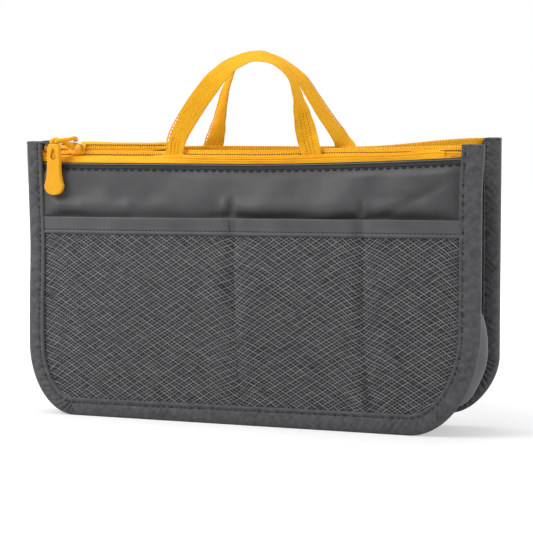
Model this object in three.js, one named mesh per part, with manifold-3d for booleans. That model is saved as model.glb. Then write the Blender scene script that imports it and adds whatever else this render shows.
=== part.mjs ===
// Purse organizer insert: a stiffened nylon pouch with mesh pockets, a bound edge on each wall,
// a folded gusset between the walls, an open coil zip along the mouth and two webbing handles.
// Millimetres, +Z up, +X to the right, the front wall at -Y. The bound edges stand on z = 0.

import * as THREE from "three";
import { mergeVertices } from "three/addons/utils/BufferGeometryUtils.js";
import Module from "manifold-3d";

const wasm = await Module();
wasm.setup();

// Overall size
const WIDTH = 290;
const FRONT_HEIGHT = 167.5;
const REAR_HEIGHT = 170.5;
const GAP_LEFT = 20;
const GAP_RIGHT = 48;
const CORNER_LEFT = { x: 31, z: 44 };
const FRONT_CORNER_RIGHT = { x: 43, z: 62 };
const REAR_CORNER_RIGHT = { x: 27, z: 33.5 };
const HALF = WIDTH / 2;

// The rear wall's base lifts off the floor towards its right corner
const REAR_RAISE = 13.5;
const RAISE_FROM_X = 20;
const RAISE_FADE_Z = 90;

// Layers of a wall, as offsets outward from the inner face of the shell cloth
const CLEAR = 0.3;
const SHELL = 0.6;
const LINING = 0.5;
const MESH = 0.6;
const CORE = 3.6;
const POCKET = 0.7;
const GUSSET = 0.7;
const TAPE = 0.6;
const FACING = 0.5;
const STRAP = 1.1;
const BULGE = 3;
const LEAN_LEFT = 1.5;
const LEAN_RIGHT = 10.5;
const LEAN_FROM_Z = 90;
const LEAN_HALF = 134;

// Edge binding: a folded tape over every layer at the rim of a wall
const BINDING_FACE = 10.5;
const BINDING_CLOTH = 0.9;
const BINDING_OUTER = 2.7;
const BINDING_INNER = -3;
const FIN_TAPER = 22;

// Top edge of the cloth walls and the pockets
const PANEL_TOP = 155;
const PANEL_TOP_RISE = 4.5;
const HEM_TOP_LEFT = 122.5;
const HEM_TOP_RIGHT = 125.3;
const HEM_HEIGHT = 10.5;
const HEM_CLOTH = 0.8;
const POCKET_SEAMS = [-134, -5, 75, 134];
const POCKET_BILLOW = 2;
const INNER_POCKET = { halfWidth: 118, bottom: 14, top: 100 };

// Zip: both coils run straight and parallel where the slider works, then part towards their walls
const CHAIN_ROLL = THREE.MathUtils.degToRad(55);
const CHAIN_Z = 163.2;
const CHAIN_START = -126;
const CHAIN_END = -66;
const COIL_CENTRE = 1.9;
const COIL_REACH = 1.4;
const COIL_HALF_THICK = 0.9;
const TOOTH_PITCH = 4.2;
const TAPE_END = 137;
const COIL_END = 132.4;
const SEWN_DEPTH = 8;

// Slider, bridge and pull
const SLIDER_X = -116;
const SLIDER_LENGTH = 10;
const SLIDER_HALF_WIDTH = 4.4;
const PLATE = 1;
const CHANNEL = 1.3;
const BRIDGE_WIRE = 0.8;
const BRIDGE_SPAN = 7.6;
const BRIDGE_BAR = 8.6;
const CORD_RADIUS = 1.3;
const GRIP_LENGTH = 31.5;
const GRIP_TOP_WIDTH = 8.2;
const GRIP_FOOT_WIDTH = 12.8;
const GRIP_THICK = 3.6;

// Handles: webbing loops whose ends are sewn between the zip tape and the facing tape
const STRAP_WIDTH = 12.6;

const clamp01 = (t) => Math.min(1, Math.max(0, t));
const lerp = (a, b, t) => a + (b - a) * t;
const ease = (t) => clamp01(t) * clamp01(t) * (3 - 2 * clamp01(t));
const ramp = (value, from, to) => ease((value - from) / (to - from));
const vec = (x, y, z) => new THREE.Vector3(x, y, z);

// Value at x on a track of [x, value] knots, eased from each knot to the next
function track(knots, x) {
  if (x <= knots[0][0]) return knots[0][1];
  for (let i = 1; i < knots.length; i += 1) {
    const [x1, v1] = knots[i];
    const [x0, v0] = knots[i - 1];
    if (x <= x1) return lerp(v0, v1, ease((x - x0) / (x1 - x0)));
  }
  return knots[knots.length - 1][1];
}

// Half of the distance between the two walls at the seams: the plan is a wedge, open to the right
const seamGap = (x) => lerp(GAP_LEFT, GAP_RIGHT, x / WIDTH + 0.5) / 2;

const chainDrop = COIL_CENTRE * Math.sin(CHAIN_ROLL);
const chainHalf = COIL_CENTRE * Math.cos(CHAIN_ROLL);
const rollDegrees = THREE.MathUtils.radToDeg(CHAIN_ROLL);
const channelMiddle = 0.2;

// Each wall: its side of the XZ plane, its height, and the route of its half of the zip
// (out is the distance from the middle plane, lift the height, tilt the tooth angle above level)
const FRONT = {
  name: "front",
  side: -1,
  rise: 0,
  height: FRONT_HEIGHT,
  corners: { left: CORNER_LEFT, right: FRONT_CORNER_RIGHT },
  out: [[-TAPE_END, seamGap(-TAPE_END) + channelMiddle], [CHAIN_START, chainHalf], [CHAIN_END, chainHalf],
    [-30, 5.6], [48, 7], [110, 12.5], [TAPE_END, seamGap(TAPE_END) + channelMiddle]],
  lift: [[-TAPE_END, 163.4], [CHAIN_START, CHAIN_Z - chainDrop], [0, CHAIN_Z - chainDrop], [70, 163.7],
    [TAPE_END, 166.2]],
  tilt: [[-TAPE_END, 90], [CHAIN_START, rollDegrees], [CHAIN_END, rollDegrees], [-40, 72], [128, 80],
    [TAPE_END, 90]],
  crest: [[CHAIN_START, 2], [CHAIN_END, 2]],
  handle: {
    left: -49.8,
    right: 38.8,
    climb: [[1.8, 9], [9, 21.5], [19, 35.4], [29.4, 47.2], [41.2, 55.2], [53.5, 58.6],
      [62.6, 56.4], [70, 52], [76.2, 43.6], [80, 33], [82.8, 22], [85.6, 11]],
    turns: [[0, 0], [0.2, -4], [0.3, 4], [0.38, 24], [0.46, 46], [0.53, 58],
      [0.63, 78], [0.71, 90], [0.78, 80], [0.845, 56], [0.91, 30], [0.96, 6], [1, 0]],
  },
};
const REAR = {
  name: "rear",
  side: 1,
  rise: REAR_HEIGHT - FRONT_HEIGHT,
  height: REAR_HEIGHT,
  corners: { left: CORNER_LEFT, right: REAR_CORNER_RIGHT },
  out: [[-TAPE_END, seamGap(-TAPE_END) + channelMiddle], [CHAIN_START, chainHalf], [CHAIN_END, chainHalf],
    [-30, 6], [48, 7.4], [110, 12.5], [TAPE_END, seamGap(TAPE_END) + channelMiddle]],
  lift: [[-TAPE_END, 167], [CHAIN_START, CHAIN_Z + chainDrop], [CHAIN_END, CHAIN_Z + chainDrop],
    [-22, 164.4], [60, 164.2], [TAPE_END, 169.2]],
  tilt: [[-TAPE_END, 90], [CHAIN_START, -rollDegrees], [CHAIN_END, -rollDegrees], [-38, 72], [128, 80],
    [TAPE_END, 90]],
  crest: [[-TAPE_END, 2], [CHAIN_START, 2.4], [CHAIN_END, 2.4], [-40, 2]],
  handle: {
    left: -30.6,
    right: 55.5,
    climb: [[4.8, 9.5], [14.2, 22.6], [21.3, 33.5], [28.6, 43.9], [36.7, 50.8], [46, 56], [56, 58.2],
      [65.5, 54.6], [71.5, 48.6], [76.2, 38.5], [78.8, 28.5], [80.6, 19.5], [82.6, 11]],
    turns: [[0, 0], [0.03, 30], [0.08, 56], [0.14, 63], [0.3, 70], [0.42, 76],
      [0.62, 76], [0.71, 55], [0.8, 44], [0.87, 34], [0.92, 17], [0.96, 6], [1, 0]],
  },
};
const WALLS = [FRONT, REAR];

const panelTop = (wall, x) => PANEL_TOP + wall.rise + PANEL_TOP_RISE * clamp01((x + 10) / 140) ** 1.7;
const hemTop = (x) => lerp(HEM_TOP_LEFT, HEM_TOP_RIGHT, x / WIDTH + 0.5);

// Distance from a point of a wall to its rim, round the sides and the base
function rimDistance(wall, x, z) {
  const corner = x < 0 ? wall.corners.left : wall.corners.right;
  const dx = (Math.abs(x) - HALF + corner.x) / corner.x;
  const dz = (corner.z - z) / corner.z;
  if (dx <= 0 || dz <= 0) return Math.min(HALF - Math.abs(x), z);
  return (1 - Math.hypot(dx, dz)) * lerp(corner.z, corner.x, dx / (dx + dz));
}

// Distance of a wall's layer from the middle plane: flat at the rim, crowned below, leaning in at the top
function wallOut(wall, x, z, offset) {
  const mound = Math.max(0, 1 - (x / LEAN_HALF) ** 2);
  const crown = BULGE * mound * ramp(z, 5, 75) * (1 - ramp(z, 75, 150));
  const most = lerp(LEAN_LEFT, LEAN_RIGHT, x / (2 * LEAN_HALF) + 0.5);
  const lean = most * mound * Math.max(0, (z - LEAN_FROM_Z - wall.rise) / (PANEL_TOP - LEAN_FROM_Z)) ** 2;
  return seamGap(x) + crown - lean + offset;
}

// Point of the cloth body, with the lift of the rear wall's base
function place(x, y, z) {
  const rear = clamp01(y / (2 * seamGap(x)) + 0.5);
  const along = Math.max(0, (x - RAISE_FROM_X) / (HALF - RAISE_FROM_X)) ** 2;
  return vec(x, y, z + REAR_RAISE * along * (1 - ramp(z, 0, RAISE_FADE_Z)) * rear);
}
const wallPoint = (wall, x, z, offset) => place(x, wall.side * wallOut(wall, x, z, offset), z);

// Geometry helpers

// Signed volume of an indexed mesh, to tell which way its faces point
function signedVolume(points, faces) {
  let sum = 0;
  const cross = new THREE.Vector3();
  for (const [a, b, c] of faces) sum += points[a].dot(cross.crossVectors(points[b], points[c]));
  return sum / 6;
}

function solidFrom(points, faces) {
  const outward = signedVolume(points, faces) > 0;
  const geometry = new THREE.BufferGeometry();
  const values = points.flatMap((p) => [p.x, p.y, p.z]);
  geometry.setAttribute("position", new THREE.Float32BufferAttribute(values, 3));
  geometry.setIndex(faces.flatMap(([a, b, c]) => (outward ? [a, b, c] : [a, c, b])));
  geometry.computeVertexNormals();
  return geometry;
}

// A thin closed sheet between two grids of points of the same size
function sheetSolid(over, under) {
  const rows = over.length;
  const cols = over[0].length;
  const points = [...over.flat(), ...under.flat()];
  const top = (r, c) => r * cols + c;
  const low = (r, c) => rows * cols + r * cols + c;
  const faces = [];
  const quad = (a, b, c, d) => faces.push([a, b, c], [a, c, d]);
  for (let r = 0; r + 1 < rows; r += 1) {
    for (let c = 0; c + 1 < cols; c += 1) {
      quad(top(r, c), top(r, c + 1), top(r + 1, c + 1), top(r + 1, c));
      quad(low(r, c), low(r + 1, c), low(r + 1, c + 1), low(r, c + 1));
    }
  }
  for (let c = 0; c + 1 < cols; c += 1) {
    quad(top(0, c), low(0, c), low(0, c + 1), top(0, c + 1));
    quad(top(rows - 1, c), top(rows - 1, c + 1), low(rows - 1, c + 1), low(rows - 1, c));
  }
  for (let r = 0; r + 1 < rows; r += 1) {
    quad(top(r, 0), top(r + 1, 0), low(r + 1, 0), low(r, 0));
    quad(top(r, cols - 1), low(r, cols - 1), low(r + 1, cols - 1), top(r + 1, cols - 1));
  }
  return solidFrom(points, faces);
}

// Copy of an open polyline in a plane, moved sideways by a distance (to the left of its run)
function offsetLine(line, distance) {
  return line.map((p, i) => {
    const a = line[Math.max(0, i - 1)];
    const b = line[Math.min(line.length - 1, i + 1)];
    const length = Math.hypot(b[0] - a[0], b[1] - a[1]);
    return [p[0] - ((b[1] - a[1]) / length) * distance, p[1] + ((b[0] - a[0]) / length) * distance];
  });
}

function toManifold(geometry) {
  const bare = geometry.index ? geometry.clone() : geometry;
  bare.deleteAttribute("normal");
  bare.deleteAttribute("uv");
  const merged = mergeVertices(bare, 1e-4);
  const vertProperties = new Float32Array(merged.attributes.position.array);
  const triVerts = new Uint32Array(merged.index.array);
  return new wasm.Manifold(new wasm.Mesh({ numProp: 3, vertProperties, triVerts }));
}

function fromManifold(solid) {
  const { vertProperties, triVerts } = solid.getMesh();
  const geometry = new THREE.BufferGeometry();
  geometry.setAttribute("position", new THREE.Float32BufferAttribute(vertProperties, 3));
  geometry.setIndex(Array.from(triVerts));
  geometry.computeVertexNormals();
  return geometry;
}

const join = (...parts) => fromManifold(parts.map(toManifold).reduce((sum, part) => sum.add(part)));

// Flat plate from an outline in its XY plane, standing on height z
function plate(outline, thickness, z) {
  const shape = new THREE.Shape(outline.map(([x, y]) => new THREE.Vector2(x, y)));
  const geometry = new THREE.ExtrudeGeometry(shape, { depth: thickness, bevelEnabled: false });
  return geometry.translate(0, 0, z);
}

function block(x0, x1, y0, y1, z0, z1) {
  return plate([[x0, y0], [x1, y0], [x1, y1], [x0, y1]], z1 - z0, z0);
}

// Round bar along a smooth curve
function roundBar(points, radius, steps, sides, closed = false) {
  const path = new THREE.CatmullRomCurve3(points, closed, "centripetal");
  const ring = new THREE.Shape();
  ring.absarc(0, 0, radius, 0, Math.PI * 2, false);
  const sweep = { steps, extrudePath: path, curveSegments: sides, bevelEnabled: false };
  return new THREE.ExtrudeGeometry(ring, sweep);
}

// Materials
const metal = (color, roughness, metalness) =>
  new THREE.MeshStandardMaterial({ color, roughness, metalness });
const cloth = (color, roughness) => metal(color, roughness, 0);
const NYLON = 0x4b4b4e;
const NYLON_DARK = 0x38383b;
const MESH_GREY = 0x434346;
const BINDING_GREY = 0x57575a;
const FOAM = 0xd9d9d6;
const YELLOW = 0xf6ab12;
const STEEL = 0xc4c6c8;

const assembly = new THREE.Group();
function add(name, geometry, material) {
  const mesh = new THREE.Mesh(geometry, material);
  mesh.name = name;
  assembly.add(mesh);
  return mesh;
}

// Walls

const finInset = 1.6;

// Fractions from 0 to 1 in equal steps
const evenly = (count) => Array.from({ length: count + 1 }, (_, i) => i / count);

// Fractions across a wall: its two rims, and equal steps between the inner edges of the binding
const spread = (count, ...near) => {
  const rim = [0, ...near.map((inset) => (inset - finInset) / (WIDTH - 2 * finInset))];
  const first = rim[rim.length - 1];
  const middle = evenly(count).slice(1, -1).map((t) => lerp(first, 1 - first, t));
  return [...rim, ...middle, ...rim.map((u) => 1 - u).reverse()];
};
const edgeInset = HALF - LEAN_HALF;

// Rows of (x, z) that fill a wall's outline, set in from the rim, up to a top edge
function wallGrid(wall, inset, top, columns, arcRows, upRows) {
  const { left, right } = wall.corners;
  const rows = [];
  const end = (corner, sign, turn) => [
    sign * (HALF - inset - Math.max(2, corner.x - inset) * (1 - Math.sin(turn))),
    inset + (corner.z - inset) * (1 - Math.cos(turn)),
  ];
  for (let k = 0; k < arcRows; k += 1) {
    const turn = (Math.PI / 2) * (k / arcRows);
    const [xl, zl] = end(left, -1, turn);
    const [xr, zr] = end(right, 1, turn);
    rows.push(columns.map((u) => [lerp(xl, xr, u), lerp(zl, zr, u)]));
  }
  for (let k = 0; k <= upRows; k += 1) {
    rows.push(columns.map((u) => {
      const x = lerp(-HALF + inset, HALF - inset, u);
      return [x, lerp(lerp(left.z, right.z, u), top(x), k / upRows)];
    }));
  }
  return rows;
}

// A layer of a wall over a grid, between an inner and an outer offset
function wallLayer(wall, grid, inner, outer) {
  const lay = (offset) => grid.map((row) => row.map(([x, z]) => wallPoint(wall, x, z, offset(x, z))));
  return sheetSolid(lay(outer), lay(inner));
}

function shellOf(wall) {
  const grid = wallGrid(wall, finInset, (x) => panelTop(wall, x), spread(11, edgeInset), 4, 6);
  return wallLayer(wall, grid, () => 0, () => SHELL);
}

// The lining lies on the shell inside the binding and on the foam core elsewhere
const taperStart = BINDING_FACE + 2.5;
const liningOuter = (wall) => (x, z) => {
  const onCore = ramp(rimDistance(wall, x, z), taperStart, FIN_TAPER);
  return -lerp(CLEAR, CORE, onCore);
};
function liningOf(wall) {
  const columns = spread(10, edgeInset, taperStart, (taperStart + FIN_TAPER) / 2, FIN_TAPER);
  const grid = wallGrid(wall, finInset, (x) => panelTop(wall, x) - 1, columns, 7, 6);
  const outer = liningOuter(wall);
  return wallLayer(wall, grid, (x, z) => outer(x, z) - LINING, outer);
}

function stiffenerOf(wall) {
  const top = (x) => panelTop(wall, x) - SEWN_DEPTH - 3;
  const grid = wallGrid(wall, FIN_TAPER + 8, top, evenly(9), 3, 5);
  return wallLayer(wall, grid, () => -CORE + 2 * CLEAR, () => -1.3 * CLEAR);
}

// Outside pocket: mesh that stands a little off the shell between its seams
function billow(x, z) {
  const i = x < POCKET_SEAMS[1] ? 0 : x < POCKET_SEAMS[2] ? 1 : 2;
  const part = clamp01((x - POCKET_SEAMS[i]) / (POCKET_SEAMS[i + 1] - POCKET_SEAMS[i]));
  return POCKET_BILLOW * Math.sin(Math.PI * part) ** 0.8 * ramp(z, 12, 95);
}
const meshInner = (x, z) => SHELL + CLEAR + billow(x, z);
const pocketColumns = POCKET_SEAMS.slice(1).flatMap((end, i) => {
  const from = POCKET_SEAMS[i];
  const count = i === 0 ? 6 : 4;
  return Array.from({ length: count }, (_, k) => (lerp(from, end, k / count) + HALF) / WIDTH);
});

function meshPocketOf(wall) {
  const columns = [0, ...pocketColumns, (POCKET_SEAMS[3] + HALF) / WIDTH, 1];
  const grid = wallGrid(wall, finInset, (x) => hemTop(x) - 1, columns, 4, 4);
  return wallLayer(wall, grid, meshInner, (x, z) => meshInner(x, z) + MESH);
}

function pocketHemOf(wall) {
  const columns = [...pocketColumns, (POCKET_SEAMS[3] + HALF) / WIDTH].map((u) => lerp(-HALF, HALF, u));
  const rows = [0, 0.5, 1].map((t) => columns.map((x) => [x, hemTop(x) - HEM_HEIGHT * (1 - t)]));
  const inner = (x, z) => meshInner(x, z) + MESH + CLEAR;
  return wallLayer(wall, rows, inner, (x, z) => inner(x, z) + HEM_CLOTH);
}

function innerPocketOf(wall) {
  const { halfWidth, bottom, top } = INNER_POCKET;
  const floor = (x) => bottom + 34 * ramp(Math.abs(x), 84, halfWidth);
  const rows = evenly(4).map((t) => evenly(9).map((u) => {
    const x = lerp(-halfWidth, halfWidth, u);
    return [x, lerp(floor(x), top, t)];
  }));
  const outer = () => -CORE - LINING - 2 * CLEAR;
  return wallLayer(wall, rows, (x, z) => outer(x, z) - POCKET, outer);
}

// Rim path of a wall from its top left corner, down, along the base and up to its top right corner
function rimPath(wall, height, sideSteps, arcSteps, baseSteps) {
  const { left, right } = wall.corners;
  const path = [];
  const arc = (corner, sign, turn) => {
    const nx = Math.sin(turn) / corner.x;
    const nz = Math.cos(turn) / corner.z;
    const size = Math.hypot(nx, nz);
    path.push({
      x: sign * (HALF - corner.x + corner.x * Math.sin(turn)),
      z: corner.z - corner.z * Math.cos(turn),
      nx: (sign * nx) / size,
      nz: -nz / size,
    });
  };
  for (let k = 0; k < sideSteps; k += 1) {
    path.push({ x: -HALF, z: lerp(height, left.z, k / sideSteps), nx: -1, nz: 0 });
  }
  for (let k = 0; k < arcSteps; k += 1) arc(left, -1, (Math.PI / 2) * (1 - k / arcSteps));
  path.push({ x: -HALF + left.x, z: 0, nx: 0, nz: -1 });
  for (let k = 0; k < baseSteps; k += 1) {
    path.push({ x: lerp(RAISE_FROM_X, HALF - right.x, k / baseSteps), z: 0, nx: 0, nz: -1 });
  }
  for (let k = 0; k < arcSteps; k += 1) arc(right, 1, (Math.PI / 2) * (k / arcSteps));
  for (let k = 0; k <= sideSteps; k += 1) {
    path.push({ x: HALF, z: lerp(right.z, height, k / sideSteps), nx: 1, nz: 0 });
  }
  return path;
}

// Binding: a folded channel with rounded edges, swept round the rim
function bindingOf(wall) {
  const fold = [[BINDING_FACE, BINDING_OUTER - 0.3], [3.2, BINDING_OUTER], [0.9, BINDING_OUTER - 0.2],
    [0, BINDING_OUTER - 1.1], [0, BINDING_INNER + 1.1], [0.9, BINDING_INNER + 0.2], [3.2, BINDING_INNER],
    [BINDING_FACE, BINDING_INNER + 0.3]];
  const c = BINDING_CLOTH;
  const inside = [[BINDING_FACE, BINDING_OUTER - c], [3.2, BINDING_OUTER - c], [1.5, BINDING_OUTER - c],
    [c, BINDING_OUTER - 1.6], [c, BINDING_INNER + 1.6], [1.5, BINDING_INNER + c], [3.2, BINDING_INNER + c],
    [BINDING_FACE, BINDING_INNER + c]];
  const path = rimPath(wall, wall.height, 1, 8, 3);
  const sweep = (section) => path.map((p) => section.map(([inset, offset]) => {
    const x = p.x - p.nx * inset;
    return place(x, wall.side * (seamGap(x) + offset), p.z - p.nz * inset);
  }));
  return sheetSolid(sweep(fold), sweep(inside));
}

// Gusset: one strip round the sides and base, its edges inside both bindings. It folds inward up the
// sides, swells out at the lower corners and lies level along the base
function gussetSolid() {
  const flange = -1.45;
  const height = PANEL_TOP - 2;
  const inFold = 20;
  const outSwell = 9.8;
  const lie = BINDING_FACE + 1.2;
  const pastBinding = 2.4;
  const across = [-0.7, -0.35, 0, 0.35, 0.7];
  const frontPath = rimPath(FRONT, height, 5, 8, 3);
  const rearPath = rimPath(REAR, height, 5, 8, 3);
  const sheet = frontPath.map((front, k) => {
    const rear = rearPath[k];
    const edge = (p) => {
      const seat = (inset) => seamGap(p.x - p.nx * inset) + flange;
      return [[seat(2.4), 2.4], [seat(lie), lie], [seat(lie) - pastBinding, lie]];
    };
    const frontEdge = edge(front).map(([y, inset]) => [-y, inset, 0]);
    const rearEdge = edge(rear).map(([y, inset]) => [y, inset, 1]).reverse();
    const z = (front.z + rear.z) / 2;
    const upSide = Math.abs(front.nx) * ramp(z, 52, 105);
    const lowCorner = ramp(z, -8, 14) * (1 - ramp(z, 44, 86));
    const [from] = frontEdge[2];
    const [to] = rearEdge[0];
    const middle = lie + Math.min(inFold, to * 0.85) * upSide - outSwell * lowCorner;
    const web = across.map((v) => {
      const share = (v + 1) / 2;
      return [lerp(from, to, share), lerp(lie, middle, 1 - Math.abs(v) ** 1.6), share];
    });
    const section = [...frontEdge, ...web, ...rearEdge];
    const side = (distance) => offsetLine(section, distance).map(([y, inset], i) => {
      const share = section[i][2];
      const x = lerp(front.x, rear.x, share) - lerp(front.nx, rear.nx, share) * inset;
      return place(x, y, lerp(front.z, rear.z, share) - lerp(front.nz, rear.nz, share) * inset);
    });
    return [side(GUSSET / 2), side(-GUSSET / 2)];
  });
  return sheetSolid(sheet.map(([over]) => over), sheet.map(([, under]) => under));
}

// Zip

// Section of a zip tape at x, from its sewn edge up to the coil, as [out, z] points
function tapeSection(wall, x) {
  const into = ramp(Math.abs(x), 110, 119);
  const over = ramp(Math.abs(x), 121, 133);
  const seat = lerp(-CORE + 1.4 * CLEAR + TAPE / 2, channelMiddle, over);
  const top = panelTop(wall, x);
  const low = lerp(top - SEWN_DEPTH, top + 0.7, into);
  const lip = lerp(top + 0.5, top + 2.2, into);
  const tilt = THREE.MathUtils.degToRad(track(wall.tilt, x));
  const out = track(wall.out, x);
  const lift = track(wall.lift, x);
  const back = COIL_REACH + CLEAR;
  const reach = back + track(wall.crest, x);
  return [
    [wallOut(wall, x, low, seat), low],
    [wallOut(wall, x, lip, seat), lip],
    [out + reach * Math.cos(tilt), lift - reach * Math.sin(tilt)],
    [out + back * Math.cos(tilt), lift - back * Math.sin(tilt)],
  ];
}

// Stations along the zip, closer together where the tape turns
const zipStations = [];
const stationStep = (x) => (Math.abs(x) > 100 || Math.abs(x + 50) < 18 ? 5 : 12);
for (let x = -TAPE_END; x < TAPE_END; x += stationStep(x)) zipStations.push(x);
zipStations.push(TAPE_END);

// A strip that follows the tape's section, between two distances on its outer side
function tapeStrip(wall, stations, trim, inner, outer) {
  const lay = (distance) => stations.map((x) => offsetLine(trim(tapeSection(wall, x), x), -distance)
    .map(([out, z]) => vec(x, wall.side * out, z)));
  return sheetSolid(lay(outer), lay(inner));
}

const zipTapeOf = (wall) => tapeStrip(wall, zipStations, (section) => section, -TAPE / 2, TAPE / 2);

// Ribbed facing tape outside the zip tape: its lower edge is under the shell, its upper edge below the coil
const strapInner = TAPE / 2 + 1.3 * CLEAR;
const facingInner = strapInner + STRAP + CLEAR;
function facingTop(wall, x) {
  const chain = ramp(x, -130, -124) * (1 - ramp(x, CHAIN_END, -54));
  return track(wall.lift, x) - lerp(2.2, 4.2, chain);
}

// Point of a section at a height, on its part above the lip
function atHeight(section, z) {
  const [, lip, crest, back] = section;
  if (z <= crest[1]) return [lerp(lip[0], crest[0], (z - lip[1]) / (crest[1] - lip[1])), z];
  return [lerp(crest[0], back[0], clamp01((z - crest[1]) / Math.max(0.2, Math.abs(back[1] - crest[1])))), z];
}
const facingSection = (wall) => (section, x) => {
  const top = facingTop(wall, x);
  const [low, lip] = section;
  return [low, lip, atHeight(section, (lip[1] + top) / 2), atHeight(section, top)];
};
const facingStations = zipStations.filter((x) => Math.abs(x) < 112);
const facingOuter = facingInner + FACING;
const facingOf = (wall) => tapeStrip(wall, facingStations, facingSection(wall), facingInner, facingOuter);

// Coil: a strip with a row of pointed teeth along its free edge
function coilOf(wall) {
  const count = Math.floor((2 * COIL_END) / TOOTH_PITCH) * 2;
  const rings = Array.from({ length: count + 1 }, (_, i) => {
    const x = lerp(-COIL_END, COIL_END, i / count);
    const tilt = THREE.MathUtils.degToRad(track(wall.tilt, x));
    const out = track(wall.out, x);
    const lift = track(wall.lift, x);
    const tip = i % 2 === 0 ? -0.3 : COIL_REACH;
    const point = (along, side) => vec(
      x,
      wall.side * (out - along * Math.cos(tilt) - side * Math.sin(tilt)),
      lift + along * Math.sin(tilt) - side * Math.cos(tilt),
    );
    const h = COIL_HALF_THICK;
    return [[point(-COIL_REACH, h), point(tip, h * 0.7)], [point(-COIL_REACH, -h), point(tip, -h * 0.7)]];
  });
  return sheetSolid(rings.map(([over]) => over), rings.map(([, under]) => under));
}

// Slider, in its own frame: X along the chain, Y across it, Z out of it
function sliderBody() {
  const half = SLIDER_LENGTH / 2;
  const w = SLIDER_HALF_WIDTH;
  const outline = (x, y) => [[-x, -y * 0.62], [-x * 0.7, -y * 0.86], [x * 0.25, -y], [x, -y * 0.9],
    [x, y * 0.9], [x * 0.25, y], [-x * 0.7, y * 0.86], [-x, y * 0.62]];
  const lip = 0.75;
  const lipBottom = 0.6;
  const post = [[1.2, 0], [2, -0.2], [half - 0.7, -0.2], [half - 0.3, 0], [half - 0.7, 0.2], [2, 0.2]];
  return join(
    plate(outline(half, w), PLATE, CHANNEL),
    plate(outline(half, w * 0.92), PLATE, -CHANNEL - PLATE),
    plate(post, 2 * CHANNEL + 0.4, -CHANNEL - 0.2),
    block(-half * 0.66, half * 0.9, w * 0.86 - 0.1, w * 0.86 + lip - 0.1, lipBottom, CHANNEL + 0.2),
    block(-half * 0.66, half * 0.9, -w * 0.86 - lip + 0.1, -w * 0.86 + 0.1, lipBottom, CHANNEL + 0.2),
  );
}

// Wire bridge over the slider, which the pull's cord passes through
function bridgeWire() {
  const foot = CHANNEL + PLATE + CLEAR;
  const half = BRIDGE_SPAN / 2;
  const knee = BRIDGE_BAR - 1.6;
  return roundBar([vec(-half, 0, foot), vec(-half, 0, knee), vec(-half + 1.3, 0, BRIDGE_BAR),
    vec(half - 1.3, 0, BRIDGE_BAR), vec(half, 0, knee), vec(half, 0, foot)], BRIDGE_WIRE, 16, 5);
}

const slider = new THREE.Group();
slider.position.set(SLIDER_X, 0, CHAIN_Z);
slider.rotation.x = CHAIN_ROLL;
assembly.add(slider);

const barY = -BRIDGE_BAR * Math.sin(CHAIN_ROLL);
const barZ = BRIDGE_BAR * Math.cos(CHAIN_ROLL);
const wrap = BRIDGE_WIRE + CORD_RADIUS + 1.5 * CLEAR;
const gripX = -9.2;
const gripY = -15.8;
const gripZ = 4.2;
const strand = 1.6;

// Cord: from one socket of the grip, round the bridge's bar and back to the other socket
function pullCord() {
  const route = [
    [gripX - strand, gripY, gripZ + CLEAR], [gripX - strand, gripY, gripZ + 1.5],
    [gripX + 0.4, gripY + 2.8, gripZ + 2.6], [-4, barY - 3.4, barZ - 0.4],
    [-1.1, barY, barZ - wrap], [0, barY + wrap, barZ], [1.1, barY, barZ + wrap],
    [-0.8, barY - 3.8, barZ + 2], [-4.2, barY - 7.4, barZ + 1.4],
    [gripX + strand, gripY + 0.2, gripZ + 1.8], [gripX + strand, gripY, gripZ + CLEAR],
  ];
  return roundBar(route.map(([x, y, z]) => vec(SLIDER_X + x, y, CHAIN_Z + z)), CORD_RADIUS, 32, 4);
}

// Moulded grip: slim at the cord, flared and rounded at the foot, with a drop-shaped dimple
function pullGrip() {
  const w = GRIP_TOP_WIDTH / 2 - 0.8;
  const f = GRIP_FOOT_WIDTH / 2 - 0.8;
  const foot = -GRIP_LENGTH + 0.8;
  const shape = new THREE.Shape();
  shape.moveTo(-w + 1.6, -0.8);
  shape.lineTo(w - 1.6, -0.8);
  shape.quadraticCurveTo(w, -0.8, w, -3);
  shape.lineTo(w + 0.3, -14);
  shape.quadraticCurveTo(w + 0.6, foot + 9, f, foot + 5);
  shape.quadraticCurveTo(f - 0.6, foot, 0, foot);
  shape.quadraticCurveTo(-f + 0.6, foot, -f, foot + 5);
  shape.quadraticCurveTo(-w - 0.6, foot + 9, -w - 0.3, -14);
  shape.lineTo(-w, -3);
  shape.quadraticCurveTo(-w, -0.8, -w + 1.6, -0.8);
  const body = new THREE.ExtrudeGeometry(shape, {
    depth: GRIP_THICK - 1.6, bevelThickness: 0.8, bevelSize: 0.8, bevelSegments: 2, curveSegments: 5,
  });
  const drop = new THREE.Shape();
  drop.moveTo(0, -2.4);
  drop.quadraticCurveTo(1.9, -5.4, 1.9, -7.8);
  drop.absarc(0, -7.8, 1.9, 0, -Math.PI, true);
  drop.quadraticCurveTo(-1.9, -5.4, 0, -2.4);
  const dimple = new THREE.ExtrudeGeometry(drop, { depth: 2, curveSegments: 5, bevelEnabled: false });
  dimple.translate(0, 0, GRIP_THICK - 1.8);
  const cut = fromManifold(toManifold(body).subtract(toManifold(dimple)));
  cut.translate(0, 0, 0.8 - GRIP_THICK / 2);
  return cut.rotateX(Math.PI / 2).translate(SLIDER_X + gripX, gripY, CHAIN_Z + gripZ);
}

// Handles

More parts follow.
